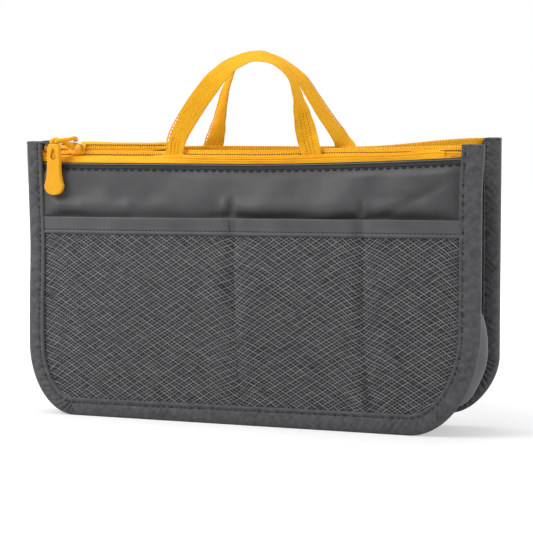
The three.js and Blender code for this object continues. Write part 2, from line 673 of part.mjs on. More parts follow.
// Strap end sewn between the zip tape and the facing
const strapHalf = STRAP_WIDTH / 2;
function strapEnd(wall, x) {
  const within = zipStations.filter((at) => Math.abs(at - x) < strapHalf - 0.5);
  const trim = (section, at) => {
    const [low, lip, middle, top] = facingSection(wall)(section, at);
    return [[lerp(lip[0], low[0], 0.7), lerp(lip[1], low[1], 0.7)], lip, middle, [top[0], top[1] - 0.6]];
  };
  return tapeStrip(wall, [x - strapHalf, ...within, x + strapHalf], trim, strapInner, strapInner + STRAP);
}

// Foot of a loop: just above the facing's edge and outside the coil, along the run of the tape
function strapFoot(wall, x) {
  const [a, b] = [x - strapHalf, x + strapHalf].map((at) => {
    const section = facingSection(wall)(tapeSection(wall, at), at);
    const [under, over] = [facingInner, facingOuter].map((d) => offsetLine(section, -d).pop());
    return vec(at, wall.side * under[0], Math.max(under[1], over[1]) + CLEAR);
  });
  const run = vec(b.x - a.x, b.y - a.y, 0).normalize();
  return { at: vec(x, (a.y + b.y) / 2, Math.max(a.z, b.z)), width: run };
}

// Loop of webbing: broad at both feet, turned on edge towards its top. The straight leg rises from the
// foot nearer the middle of the object, and the slanting leg from the other
function handleLoop(wall) {
  const slant = wall === FRONT ? 1 : -1;
  const slantFoot = wall === FRONT ? wall.handle.left : wall.handle.right;
  const straightFoot = wall === FRONT ? wall.handle.right : wall.handle.left;
  const first = strapFoot(wall, slantFoot);
  const last = strapFoot(wall, straightFoot);
  const foot = first.at;
  const other = last.at;
  const crownY = wall.side * 7.2;
  const { climb, turns } = wall.handle;
  const spine = [foot, ...climb.map(([run, up], i) => {
    const t = (i + 1) / (climb.length + 1);
    const settle = Math.sin(Math.PI * t);
    return vec(slantFoot + slant * run, lerp(lerp(foot.y, other.y, t), crownY, settle), foot.z + up);
  }), other];
  const curve = new THREE.CatmullRomCurve3(spine, false, "centripetal");
  const steps = 36;
  const sheet = Array.from({ length: steps + 1 }, (_, i) => {
    const t = i / steps;
    const at = curve.getPointAt(t);
    const along = curve.getTangentAt(t);
    const turn = THREE.MathUtils.degToRad(track(turns, t));
    const flat = vec(-along.z, 0, along.x).normalize().multiplyScalar(slant);
    const sewn = t < 0.5 ? first.width : last.width;
    const hold = 1 - ramp(Math.min(t, 1 - t), 0.01, 0.07);
    const width = flat.clone().multiplyScalar(Math.cos(turn)).add(vec(0, Math.sin(turn), 0));
    width.lerp(sewn.clone().multiplyScalar(Math.sign(sewn.dot(flat))), hold);
    width.addScaledVector(along, -width.dot(along) * (1 - hold)).normalize();
    const face = new THREE.Vector3().crossVectors(along, width).normalize();
    const point = (w, f) => at.clone().addScaledVector(width, w).addScaledVector(face, f);
    const w = strapHalf;
    return [[point(-w, STRAP / 2), point(w, STRAP / 2)], [point(-w, -STRAP / 2), point(w, -STRAP / 2)]];
  });
  return sheetSolid(sheet.map(([over]) => over), sheet.map(([, under]) => under));
}

for (const wall of WALLS) {
  add(`${wall.name}_shell`, shellOf(wall), cloth(NYLON, 0.6));
  add(`${wall.name}_stiffener`, stiffenerOf(wall), cloth(FOAM, 0.9));
  add(`${wall.name}_lining`, liningOf(wall), cloth(NYLON_DARK, 0.65));
  add(`${wall.name}_inner_pocket`, innerPocketOf(wall), cloth(NYLON_DARK, 0.65));
  add(`${wall.name}_mesh_pocket`, meshPocketOf(wall), cloth(MESH_GREY, 0.8));
  add(`${wall.name}_pocket_hem`, pocketHemOf(wall), cloth(BINDING_GREY, 0.7));
  add(`${wall.name}_binding`, bindingOf(wall), cloth(BINDING_GREY, 0.75));
  add(`${wall.name}_zip_tape`, zipTapeOf(wall), cloth(YELLOW, 0.8));
  add(`${wall.name}_zip_coil`, coilOf(wall), cloth(YELLOW, 0.45));
  add(`${wall.name}_facing_tape`, facingOf(wall), cloth(YELLOW, 0.8));
  add(`${wall.name}_handle_left_end`, strapEnd(wall, wall.handle.left), cloth(YELLOW, 0.8));
  add(`${wall.name}_handle_right_end`, strapEnd(wall, wall.handle.right), cloth(YELLOW, 0.8));
  add(`${wall.name}_handle`, handleLoop(wall), cloth(YELLOW, 0.8));
}
add("gusset", gussetSolid(), cloth(NYLON, 0.6));
slider.add(add("zip_slider", sliderBody(), metal(YELLOW, 0.35, 0.2)));
slider.add(add("slider_bridge", bridgeWire(), metal(STEEL, 0.25, 1)));
add("pull_cord", pullCord(), cloth(YELLOW, 0.8));
add("pull_grip", pullGrip(), cloth(YELLOW, 0.5));

export default assembly;
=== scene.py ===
from math import cos, degrees, pi, radians, sin, sqrt
from types import SimpleNamespace

import bpy
import numpy as np
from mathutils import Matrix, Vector


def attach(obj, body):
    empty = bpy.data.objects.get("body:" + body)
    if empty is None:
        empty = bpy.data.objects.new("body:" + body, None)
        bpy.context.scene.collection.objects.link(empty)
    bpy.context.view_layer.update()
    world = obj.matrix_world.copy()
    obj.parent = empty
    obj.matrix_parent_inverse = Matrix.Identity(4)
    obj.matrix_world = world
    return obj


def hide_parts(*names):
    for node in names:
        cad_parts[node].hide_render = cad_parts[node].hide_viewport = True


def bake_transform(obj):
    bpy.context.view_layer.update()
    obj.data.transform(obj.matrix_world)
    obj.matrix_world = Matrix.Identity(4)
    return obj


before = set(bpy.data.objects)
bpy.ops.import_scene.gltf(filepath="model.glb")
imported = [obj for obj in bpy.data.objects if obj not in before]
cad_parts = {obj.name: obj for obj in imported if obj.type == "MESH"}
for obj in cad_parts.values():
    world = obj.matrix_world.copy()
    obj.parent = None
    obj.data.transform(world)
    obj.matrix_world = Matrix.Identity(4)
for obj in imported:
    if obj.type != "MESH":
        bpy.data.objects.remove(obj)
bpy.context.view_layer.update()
MM = 0.001
rng = np.random.default_rng(7)

# Camera, at the photograph's angle
AZIMUTH, ELEVATION, DISTANCE = 19.42, 4.24, 1219
TARGET = (7.32, 0, 94.1)
LENS, SENSOR = 136.9, 36


def linked(name, data):
    obj = bpy.data.objects.new(name, data)
    bpy.context.scene.collection.objects.link(obj)
    return obj


def aimed(name, data, spot, direction):
    obj = linked(name, data)
    obj.location = spot
    obj.rotation_mode = "QUATERNION"
    obj.rotation_quaternion = direction.to_track_quat("-Z", "Y")
    return obj


def camera():
    a, e = radians(AZIMUTH), radians(ELEVATION)
    back = Vector((sin(a) * cos(e), -cos(a) * cos(e), sin(e)))
    data = bpy.data.cameras.new("camera")
    data.lens = LENS
    data.sensor_width = SENSOR
    bpy.context.scene.camera = aimed("camera", data, (Vector(TARGET) + back * DISTANCE) * MM, -back)


camera()

# Sizes of the object in millimetres, most of them as in the solids
WIDTH = 290
HALF = WIDTH / 2
GAP_LEFT, GAP_RIGHT = 20, 48
CORNER_LEFT, FRONT_CORNER_RIGHT, REAR_CORNER_RIGHT = (31, 44), (43, 62), (27, 33.5)
REAR_RAISE, RAISE_FROM_X, RAISE_FADE_Z = 13.5, 20, 90
CLEAR = 0.3
SHELL, LINING, CORE, POCKET, GUSSET = 0.6, 0.5, 3.6, 0.7, 0.7
TAPE, FACING, STRAP = 0.6, 0.5, 1.1
BULGE, LEAN_LEFT, LEAN_RIGHT, LEAN_FROM_Z, LEAN_HALF = 3, 1.5, 10.5, 90, 134
BINDING_FACE, BINDING_CLOTH, BINDING_OUTER, BINDING_INNER = 10.5, 0.9, 2.7, -3
FIN_INSET, FIN_TAPER = 1.6, 22
PANEL_TOP, PANEL_TOP_RISE = 155.9, 4.8
FOAM_HALF, FOAM_LOW, FOAM_TOP = 114, 31, 149
INNER_POCKET_HALF, INNER_POCKET_LOW, INNER_POCKET_TOP, INNER_POCKET_CORNER = 118, 14, 100, 34
HEM_TOP_LEFT, HEM_TOP_RIGHT, HEM_HEIGHT, HEM_CLOTH, HEM_JOIN_X = 122.5, 125.3, 10.5, 0.8, -8.5
POCKET_SEAMS = (-134, -5, 75, 134)
POCKET_BILLOW, SEAM_ROLL, SEAM_LOW, SEAM_HIGH, SEAM_SPAN = 2.6, 2.1, 9.5, 112, 103
GUSSET_FOLD, GUSSET_SWELL, GUSSET_FLANGE, GUSSET_PAST = 20, 9.8, -1.45, 2.4
CHAIN_ROLL = radians(55)
CHAIN_Z, CHAIN_START, CHAIN_END = 163.2, -126, -66
COIL_CENTRE, COIL_REACH, COIL_PITCH = 1.9, 1.4, 1.5
TAPE_END, COIL_END, SEWN_DEPTH = 137, 134.8, 8
SLIDER_X, BRIDGE_WIRE, BRIDGE_BAR, CORD_RADIUS = -116, 0.8, 8.6, 1.3
GRIP_X, GRIP_Y, GRIP_Z = -9.2, -15.8, 4.2
STRAP_WIDTH = 12.6
STRAP_HALF = STRAP_WIDTH / 2
CHANNEL_MIDDLE = 0.2


# Ramps, humps and blends of numbers
def clamp01(t):
    return np.clip(t, 0, 1)


def ease(t):
    t = clamp01(t)
    return t * t * (3 - 2 * t)


def ramp(value, start, end):
    return ease((value - start) / (end - start))


# Rises over the first two values and falls over the last two
def window(value, start, full, fading, end):
    return ramp(value, start, full) * (1 - ramp(value, fading, end))


def hump(value, middle, width):
    return np.exp(-((value - middle) / width) ** 2)


def lerp(a, b, t):
    return a + (b - a) * t


def track(knots, x):
    x = np.asarray(x, float)
    found = np.full(x.shape, float(knots[0][1]))
    for (x0, v0), (x1, v1) in zip(knots, knots[1:]):
        found = np.where(x > x0, lerp(v0, v1, ease((x - x0) / (x1 - x0))), found)
    return found


# Smooth noise over a plane, from a few waves with fixed random directions
def ripple(u, v, size, waves=7, spread=(0, 2 * pi), seed=1):
    local = np.random.default_rng(seed)
    total = np.zeros(np.broadcast(u, v).shape)
    for _ in range(waves):
        turn = local.uniform(*spread)
        beat = 2 * pi / (size * local.uniform(0.7, 1.5))
        total = total + np.sin((u * cos(turn) + v * sin(turn)) * beat + local.uniform(0, 6.3))
    return total / sqrt(waves)


# The two walls. Tables along the zip run from left to right; those of a strap from its first foot
def seam_gap(x):
    return lerp(GAP_LEFT, GAP_RIGHT, np.asarray(x, float) / WIDTH + 0.5) / 2


CHAIN_DROP = COIL_CENTRE * sin(CHAIN_ROLL)
CHAIN_HALF = COIL_CENTRE * cos(CHAIN_ROLL)
CHAIN_LOW, CHAIN_HIGH = CHAIN_Z - CHAIN_DROP, CHAIN_Z + CHAIN_DROP
ROLL = degrees(CHAIN_ROLL)
END_LEFT = float(seam_gap(-TAPE_END)) + CHANNEL_MIDDLE
END_RIGHT = float(seam_gap(TAPE_END)) + CHANNEL_MIDDLE


# Knots along the zip, level along the closed chain
def along_zip(left, chain, right, *between):
    return [(-TAPE_END, left), (CHAIN_START, chain), (CHAIN_END, chain), *between, (TAPE_END, right)]


FRONT = SimpleNamespace(
    name="front", side=-1, rise=0, height=167.5, mesh_seed=5, corners=(CORNER_LEFT, FRONT_CORNER_RIGHT),
    broad=(1.02, 1.21), seam=(7.6, 10.4), bare=3.2, end_rise=(1.2, 0.8), end_lean=(-0.6, 1.2), waist=1,
    out=along_zip(END_LEFT, CHAIN_HALF, END_RIGHT, (-30, 5.6), (48, 7), (110, 12.5)),
    lift=along_zip(165, CHAIN_LOW, 166.4, (-46, CHAIN_LOW + 1), (0, CHAIN_LOW + 1), (70, 164.6)),
    tilt=along_zip(90, ROLL, 90, (-40, 72), (128, 80)),
    crest=[(CHAIN_START, 2), (CHAIN_END, 2)],
    feet=(-49.8, 38.8), slant=1, hold=(0.07, 0.07), holes=((0, 0.14),), dots=((0, 0.07), (0.84, 1)),
    climb=[(1.8, 9), (9, 21.5), (19, 35.4), (29.4, 47.2), (41.2, 55.2), (53.5, 58.6), (62.6, 56.4), (70, 52),
           (76.2, 43.6), (80, 33), (82.8, 22), (85.6, 11)],
    turns=[(0, 0), (0.2, -4), (0.3, 4), (0.38, 24), (0.46, 46), (0.53, 58), (0.63, 78), (0.71, 90),
           (0.78, 80), (0.845, 56), (0.91, 30), (0.96, 6), (1, 0)])
REAR = SimpleNamespace(
    name="rear", side=1, rise=3, height=170.5, mesh_seed=6, corners=(CORNER_LEFT, REAR_CORNER_RIGHT),
    broad=(1.0, 0.92), seam=(8.6, 8.2), bare=2.2, end_rise=(-1.6, 1.2), end_lean=(0.0, 0.0), waist=0,
    out=along_zip(END_LEFT, CHAIN_HALF, END_RIGHT, (-30, 6), (48, 7.4), (110, 12.5)),
    lift=along_zip(167, CHAIN_HIGH, 170.4, (-22, 165.1), (60, 165.1)),
    tilt=along_zip(90, -ROLL, 90, (-38, 97), (128, 95)),
    crest=[(-TAPE_END, 2), (CHAIN_START, 3), (-107, 3.1), (-97, 2.7), (-87, 1.9), (CHAIN_END, 1.8),
           (-40, 2)],
    feet=(55.1, -30.6), slant=-1, hold=(0.04, 0.07), holes=((0.09, 0.34), (0.74, 0.97)),
    dots=((0, 0.07), (0.9, 1)),
    climb=[(4.8, 9.5), (14.2, 22.6), (21.3, 33.5), (28.6, 43.9), (36.7, 50.8), (46, 56), (56, 58.2),
           (65.5, 54.6), (71.5, 48.6), (76.2, 38.5), (78.8, 28.5), (80.6, 19.5), (82.6, 11)],
    turns=[(0, 0), (0.02, 40), (0.06, 57), (0.14, 63), (0.3, 70), (0.42, 76), (0.62, 76), (0.71, 55),
           (0.8, 44), (0.87, 34), (0.92, 17), (0.96, 6), (1, 0)])


def panel_top(wall, x):
    return PANEL_TOP + wall.rise + PANEL_TOP_RISE * clamp01((np.asarray(x, float) + 10) / 140) ** 1.7


def hem_top(x):
    return lerp(HEM_TOP_LEFT, HEM_TOP_RIGHT, x / WIDTH + 0.5)


def rim_distance(wall, x, z):
    left, right = wall.corners
    cx = np.where(x < 0, left[0], right[0])
    cz = np.where(x < 0, left[1], right[1])
    dx = (np.abs(x) - HALF + cx) / cx
    dz = (cz - z) / cz
    inside = (dx > 0) & (dz > 0)
    share = np.where(inside, dx / np.maximum(dx + dz, 1e-6), 0)
    corner = (1 - np.hypot(dx, dz)) * lerp(cz, cx, share)
    return np.where(inside, corner, np.minimum(HALF - np.abs(x), z))


def wall_out(wall, x, z, offset):
    mound = np.maximum(0, 1 - (x / LEAN_HALF) ** 2)
    crown = BULGE * mound * window(z, 5, 75, 75, 150)
    most = lerp(LEAN_LEFT, LEAN_RIGHT, x / (2 * LEAN_HALF) + 0.5)
    lean = most * mound * np.maximum(0, (z - LEAN_FROM_Z - wall.rise) / (PANEL_TOP - LEAN_FROM_Z)) ** 2
    return seam_gap(x) + crown - lean + offset


# Point of the cloth body, with the lift of the rear wall's base towards its right corner
def place(x, y, z):
    rear = clamp01(y / (2 * seam_gap(x)) + 0.5)
    along = np.maximum(0, (x - RAISE_FROM_X) / (HALF - RAISE_FROM_X)) ** 2
    raised = z + REAR_RAISE * along * (1 - ramp(z, 0, RAISE_FADE_Z)) * rear
    return np.stack(np.broadcast_arrays(x, y, raised), -1)


def wall_points(wall, x, z, offset):
    return place(x, wall.side * wall_out(wall, x, z, offset), z)


# Lines and points
def joined(*parts):
    return np.stack(parts, -1)


def unit(v):
    return v / np.maximum(np.linalg.norm(v, axis=-1, keepdims=True), 1e-9)


def run_of(line):
    return unit(np.gradient(line, axis=0))


# Distance run along a line up to each of its points
def travelled(line):
    return np.concatenate([[0], np.cumsum(np.linalg.norm(np.diff(line, axis=0), axis=1))])


def sampled(line, at, where):
    return np.stack([np.interp(where, at, line[:, k]) for k in range(3)], -1)


# Right-hand normal of directions in a section
def beside(run):
    return joined(run[..., 1], -run[..., 0])


# Curve through points, evenly spaced along its length
def smooth_curve(points, count):
    p = np.asarray(points, float)
    p = np.concatenate([[2 * p[0] - p[1]], p, [2 * p[-1] - p[-2]]])
    t = np.linspace(0, 1, 60, endpoint=False)[:, None]
    fine = []
    for i in range(1, len(p) - 2):
        p0, p1, p2, p3 = p[i - 1: i + 3]
        d0, d1, d2 = (sqrt(np.linalg.norm(b - a)) for a, b in ((p0, p1), (p1, p2), (p2, p3)))
        t1 = ((p1 - p0) / d0 - (p2 - p0) / (d0 + d1) + (p2 - p1) / d1) * d1
        t2 = ((p2 - p1) / d1 - (p3 - p1) / (d1 + d2) + (p3 - p2) / d2) * d1
        fine.append((2 * t ** 3 - 3 * t ** 2 + 1) * p1 + (t ** 3 - 2 * t ** 2 + t) * t1
                    + (3 * t ** 2 - 2 * t ** 3) * p2 + (t ** 3 - t ** 2) * t2)
    fine = np.concatenate([*fine, p[-2:-1]])
    at = travelled(fine)
    return sampled(fine, at, np.linspace(0, at[-1], count))


# Meshes
def mesh_object(name, points, faces, material, uv=None):
    mesh = bpy.data.meshes.new(name)
    mesh.from_pydata((np.asarray(points, float) * MM).tolist(), [], np.asarray(faces).tolist())
    if uv is not None:
        flat = mesh.uv_layers.new(name="UVMap")
        index = np.zeros(len(mesh.loops), np.int32)
        mesh.loops.foreach_get("vertex_index", index)
        flat.data.foreach_set("uv", (np.asarray(uv, float) * MM)[index].astype(np.float32).ravel())
    mesh.polygons.foreach_set("use_smooth", np.full(len(mesh.polygons), True))
    mesh.update()
    mesh.materials.append(material)
    return linked(name, mesh)


def grid_faces(rows, cols, start=0):
    r, c = np.meshgrid(np.arange(rows - 1), np.arange(cols - 1), indexing="ij")
    a = (start + r * cols + c).ravel()
    return joined(a, a + 1, a + cols + 1, a + cols)


# Faces between rings of points, each ring closed
def ring_faces(rings, sides):
    i, k = np.meshgrid(np.arange(rings - 1), np.arange(sides), indexing="ij")
    a = (i * sides + k).ravel()
    b = (i * sides + (k + 1) % sides).ravel()
    return joined(a, b, b + sides, a + sides)


def lengths(grid):
    down = np.linalg.norm(np.diff(grid, axis=0), axis=2).mean(1)
    over = np.linalg.norm(np.diff(grid, axis=1), axis=2).mean(0)
    v = np.concatenate([[0], np.cumsum(down)])
    u = np.concatenate([[0], np.cumsum(over)])
    return np.stack(np.broadcast_arrays(u[None, :], v[:, None]), -1)


# A closed thin sheet between two grids of points
def slab(name, over, under, material):
    rows, cols = over.shape[:2]
    count = rows * cols
    first = np.arange(cols - 1)
    last = first + count - cols
    left = np.arange(rows - 1) * cols
    right = left + cols - 1
    strips = ((first + 1, first), (last, last + 1), (left, left + cols), (right + cols, right))
    faces = np.concatenate([grid_faces(rows, cols), grid_faces(rows, cols, count)[:, ::-1],
                            *(joined(a, b, b + count, a + count) for a, b in strips)])
    points = np.concatenate([over.reshape(-1, 3), under.reshape(-1, 3)])
    p = points[faces]
    volume = sum((p[:, 0] * np.cross(p[:, k], p[:, k + 1])).sum() for k in (1, 2))
    if volume < 0:
        faces = faces[:, ::-1]
    uv = lengths(over).reshape(-1, 2)
    return mesh_object(name, points, faces, material, np.concatenate([uv, uv]))


# A sheet on a wall, between two distances from the wall's curved face
def layer(name, wall, x, z, inner, outer, material):
    return slab(name, wall_points(wall, x, z, outer), wall_points(wall, x, z, inner), material)


# A tube whose frame is carried along its line without twisting
def tube_parts(line, radius, sides, first=(0, 0, 1)):
    along = run_of(line)
    side = np.zeros_like(line)
    now = np.asarray(first, float)
    for i, t in enumerate(along):
        now = now - t * (now @ t)
        now = now / np.linalg.norm(now)
        side[i] = now
    up = np.cross(along, side)
    turn = np.linspace(0, 2 * pi, sides, endpoint=False)[None, :, None]
    ring = np.cos(turn) * side[:, None] + np.sin(turn) * up[:, None]
    r = np.broadcast_to(np.asarray(radius, float), (len(line),))[:, None, None]
    return (line[:, None] + ring * r).reshape(-1, 3), ring_faces(len(line), sides)


def merged(parts):
    points, faces, start = [], [], 0
    for p, f in parts:
        points.append(p)
        faces.append(f + start)
        start += len(p)
    return np.concatenate(points), np.concatenate(faces)


# A row of separate stitches: short threads that dip into the cloth at both ends
STITCH_SINK = 0.25
STITCH_TAPER = np.array([0.55, 0.95, 1, 1, 0.95, 0.55])


def stitch_row(name, line, normal, material, pitch, share=0.72, radius=0.24):
    at = travelled(line)
    shape = np.linspace(-0.5, 0.5, len(STITCH_TAPER))
    stand = radius * 0.55 - STITCH_SINK * (2 * np.abs(shape)) ** 3
    parts = []
    for s in np.arange(pitch * 0.5, at[-1] - pitch * 0.4, pitch):
        where = s + shape * pitch * share * rng.uniform(0.92, 1.05)
        n = sampled(normal, at, where)
        p = sampled(line, at, where) + unit(n) * stand[:, None]
        parts.append(tube_parts(p, radius * STITCH_TAPER, 5, n[0]))
    return mesh_object(name, *merged(parts), material)


# What each piece rides on, and the solids that it stands for, which are hidden; the slot is not used
def rides(obj, slot, *nodes, body="pouch"):
    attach(obj, body)
    if nodes:
        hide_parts(*nodes)
    return obj


# A row of grey stitches on a wall; the sign is -1 on its inside
def sew(wall, label, slot, line, *spacing, sign=1):
    normal = np.tile((0, wall.side * sign, 0), (len(line), 1))
    return rides(stitch_row(f"{wall.name}_{label}", line, normal, M_THREAD_SHADED, *spacing), slot)


# Materials. Lengths in them are in metres
def node(tree, kind, **values):
    made = tree.nodes.new(kind)
    for key, value in values.items():
        if key in made.inputs:
            made.inputs[key].default_value = value
        else:
            setattr(made, key, value)
    return made


def map_range(tree, value, start, end, low, high):
    made = tree.nodes.new("ShaderNodeMapRange")
    for key, limit in (("From Min", start), ("From Max", end), ("To Min", low), ("To Max", high)):
        made.inputs[key].default_value = limit
    tree.links.new(value, made.inputs["Value"])
    return made.outputs["Result"]


def math_node(tree, operation, a, b):
    made = node(tree, "ShaderNodeMath", operation=operation)
    for socket, value in zip(made.inputs, (a, b)):
        if isinstance(value, (int, float)):
            socket.default_value = value
        else:
            tree.links.new(value, socket)
    return made.outputs[0]


# A material with its tree, the inputs of its shader, its colour and the place that its patterns follow
def new_look(name, colour, roughness, coords="Object", metallic=0.0, sheen=0.0, specular=0.5):
    material = bpy.data.materials.new(name)
    material.use_nodes = True
    tree = material.node_tree
    shader = tree.nodes["Principled BSDF"].inputs
    settings = {"Base Color": (*colour, 1), "Roughness": roughness, "Metallic": metallic,
                "Sheen Weight": sheen, "Sheen Roughness": 0.5, "Specular IOR Level": specular}
    for key, value in settings.items():
        shader[key].default_value = value
    at = tree.nodes.new("ShaderNodeTexCoord").outputs[coords]
    return SimpleNamespace(material=material, tree=tree, shader=shader, colour=colour, at=at)


def noise(look, scale, detail, rough=0.55, at=None):
    made = node(look.tree, "ShaderNodeTexNoise", Scale=scale, Detail=detail, Roughness=rough)
    look.tree.links.new(at or look.at, made.inputs["Vector"])
    return made.outputs["Fac"]


# Bands with a given period; a band texture of scale 1 has one every 0.314 m
def wave(look, period, direction, distortion=0.0):
    made = node(look.tree, "ShaderNodeTexWave", Scale=0.314 / period, Distortion=distortion,
                bands_direction=direction)
    look.tree.links.new(look.at, made.inputs["Vector"])
    return made.outputs["Fac"]


def shade(colour, factor):
    return tuple(min(1.0, c * factor) for c in colour)


def tint(look, fac, dark, light, low=0.3, high=0.7):
    steps = look.tree.nodes.new("ShaderNodeValToRGB")
    for element, at, factor in zip(steps.color_ramp.elements, (low, high), (dark, light)):
        element.position = at
        element.color = (*shade(look.colour, factor), 1)
    look.tree.links.new(fac, steps.inputs["Fac"])
    look.tree.links.new(steps.outputs["Color"], look.shader["Base Color"])


# Layers of relief, the last step of each material
def bump(look, *layers):
    last = None
    for height, strength, distance in layers:
        made = node(look.tree, "ShaderNodeBump", Strength=strength, Distance=distance)
        look.tree.links.new(height, made.inputs["Height"])
        if last is not None:
            look.tree.links.new(last, made.inputs["Normal"])
        last = made.outputs["Normal"]
    look.tree.links.new(last, look.shader["Normal"])
    return look.material


def nylon(name, colour, roughness):
    look = new_look(name, colour, roughness, sheen=0.03, specular=0.2)
    tint(look, noise(look, 60, 4), 0.86, 1.14)
    weave = math_node(look.tree, "ADD", wave(look, 0.0006, "X", 0.6), wave(look, 0.0006, "Z", 0.6))
    crinkle, grain = noise(look, 45, 3), noise(look, 420, 2)
    return bump(look, (crinkle, 0.25, 0.0012), (grain, 0.2, 0.0003), (weave, 0.12, 0.0001))


def grosgrain(name, colour, roughness):
    look = new_look(name, colour, roughness, "UV", sheen=0.05, specular=0.15)
    tint(look, noise(look, 260, 5, 0.65), 0.72, 1.3)
    ribs = wave(look, 0.0011, "DIAGONAL", 2.5)
    return bump(look, (noise(look, 150, 4), 0.7, 0.0012), (ribs, 0.35, 0.0003))


# Woven ribs both ways, with streaks drawn out along the tape
def webbing(name, colour):
    look = new_look(name, colour, 0.75, "UV", sheen=0.05, specular=0.15)
    tree = look.tree
    both = math_node(tree, "MULTIPLY", wave(look, 0.0009, "Y", 0.8), wave(look, 0.0011, "X", 0.4))
    drawn = node(tree, "ShaderNodeVectorMath", operation="MULTIPLY")
    drawn.inputs[1].default_value = (1, 0.1, 1)
    tree.links.new(look.at, drawn.inputs[0])
    streaks = noise(look, 800, 2, at=drawn.outputs[0])
    mixed = math_node(tree, "ADD", math_node(tree, "MULTIPLY", both, 0.15), streaks)
    tint(look, mixed, 0.93, 1.13, 0.35, 0.8)
    return bump(look, (both, 0.2, 0.0002), (streaks, 0.3, 0.0003))


def plastic(name, colour, roughness, scale=700.0, depth=0.00012):
    look = new_look(name, colour, roughness, specular=0.3)
    tint(look, noise(look, 180, 3), 0.94, 1.06)
    return bump(look, (noise(look, scale, 3), 0.25, depth))


# Knitted ground of the mesh pocket, mottled with dark spots: painted shade of its small holes
def knit(name, colour):
    look = new_look(name, colour, 0.8, specular=0.08)
    # The dark end of the mottle is painted shade, seen through the holes between the strands
    tint(look, noise(look, 800, 3, 0.6), 0.45, 1.5, 0.32, 0.68)
    return bump(look, (noise(look, 700, 3), 0.6, 0.0004))


def thread(name, colour):
    look = new_look(name, colour, 0.6, sheen=0.03, specular=0.15)
    tint(look, noise(look, 900, 2), 0.8, 1.2)
    return bump(look, (wave(look, 0.00035, "DIAGONAL"), 0.4, 0.0001))


def steel(name):
    look = new_look(name, (0.72, 0.73, 0.75), 0.18, metallic=1.0)
    worn = map_range(look.tree, noise(look, 600, 3), 0, 1, 0.12, 0.3)
    look.tree.links.new(worn, look.shader["Roughness"])
    return bump(look, (noise(look, 900, 2), 0.08, 0.00005))


GREY = (0.08, 0.08, 0.083)
GOLD = (0.97, 0.45, 0.014)
M_NYLON = nylon("nylon_shell", GREY, 0.48)
# The gusset is the shell's grey nylon made lighter: painted light, for the light that the floor throws on it
M_GUSSET_LIT = nylon("nylon_gusset", shade(GREY, 1.4), 0.48)
M_LINING = nylon("nylon_lining", shade(GREY, 0.5), 0.6)
M_WELT = nylon("nylon_welt", shade(GREY, 0.36), 0.6)
# Light grey of the piping along the top: a painted highlight on the rolled edge
M_PIPING_HIGHLIGHT = nylon("piping", shade(GREY, 1.8), 0.5)
M_GROUND = knit("mesh_ground", (0.045, 0.045, 0.048))
M_STRAND = thread("mesh_strand", (0.29, 0.29, 0.292))
M_HEM = nylon("hem_tape", shade(GREY, 1.35), 0.6)
M_BIND = grosgrain("binding_tape", (0.1, 0.1, 0.104), 0.7)
M_FOAM = nylon("foam_sheet", (0.6, 0.6, 0.57), 0.9)
M_TAPE = webbing("zip_tape", GOLD)
M_WEB = webbing("strap_webbing", GOLD)
M_COIL = plastic("coil_nylon", GOLD, 0.42)
M_COIL_BED = webbing("coil_bed", GOLD)
M_ENAMEL = plastic("slider_enamel", GOLD, 0.35, 300.0, 0.00005)
M_GRIP = plastic("grip_moulded", shade(GOLD, 0.95), 0.45)
# Darker orange of the grip's recess floor: painted shade
M_RECESS_SHADE = plastic("grip_recess", (0.86, 0.33, 0.01), 0.5)
M_DOTS = thread("strap_dots", (0.62, 0.2, 0.008))
# Dark dots at the coil's roots: painted shade of the gaps between the windings
M_ROOT_SHADE = thread("coil_root", (0.15, 0.075, 0.02))
M_CORD = webbing("pull_cord_braid", GOLD)
# Stitch thread darker than its own mid grey: partly painted shade of the needle holes at the stitches' ends
M_THREAD_SHADED = thread("thread_grey", (0.035, 0.035, 0.038))
M_STEEL = steel("bridge_steel")


# Grid over a wall: rows that follow the rounded lower corners, then rows up to the top
def wall_grid(wall, top, columns, arc_rows, up_rows):
    left, right = wall.corners
    half = HALF - FIN_INSET
    across = np.linspace(0, 1, columns)

    def end(corner, sign, turn):
        x = half - (corner[0] - FIN_INSET) * (1 - sin(turn))
        return sign * x, FIN_INSET + (corner[1] - FIN_INSET) * (1 - cos(turn))
    rows = []
    for k in range(arc_rows):
        turn = pi / 2 * k / arc_rows
        xl, zl = end(left, -1, turn)
        xr, zr = end(right, 1, turn)
        rows.append((lerp(xl, xr, across), lerp(zl, zr, across)))
    x = lerp(-half, half, across)
    for k in range(up_rows + 1):
        rows.append((x, lerp(lerp(left[1], right[1], across), top(x), k / up_rows)))
    found = np.array(rows)
    return found[:, 0], found[:, 1]


# Nylon above the pocket, with soft folds: how far it swells out just above the hem, and higher up, along x
HOLLOWS = ((-134, 2.4), (-122, 3.2), (-110, 3.0), (-98, 1.4), (-84, 1.3), (-78, 1.6), (-70, 1.0), (-30, 1.4),
           (-18, 1.8), (-13, 3.2), (-9, 1.2), (-4, 3.8), (10, 4.4), (30, 3.6), (50, 2.8), (62, 3.2),
           (69, 3.4), (73, 0.8), (77, 3.4), (90, 4.4), (112, 4.0), (134, 2.6))
FULLNESS = ((-134, 1.4), (-102, 1.1), (-86, 0.45), (-68, 0.45), (-20, 1.8), (10, 2.8), (60, 2.6), (134, 2.4))
FOLD_X, FOLD_Z, DENT_X, DENT_Z, BEAD_X, CALM_X = 70, 145, 101, 134, 73, -78
CREASE_RIDGE_X, CREASE_GROOVE_X, CREASE_Z = -5, -9, 140


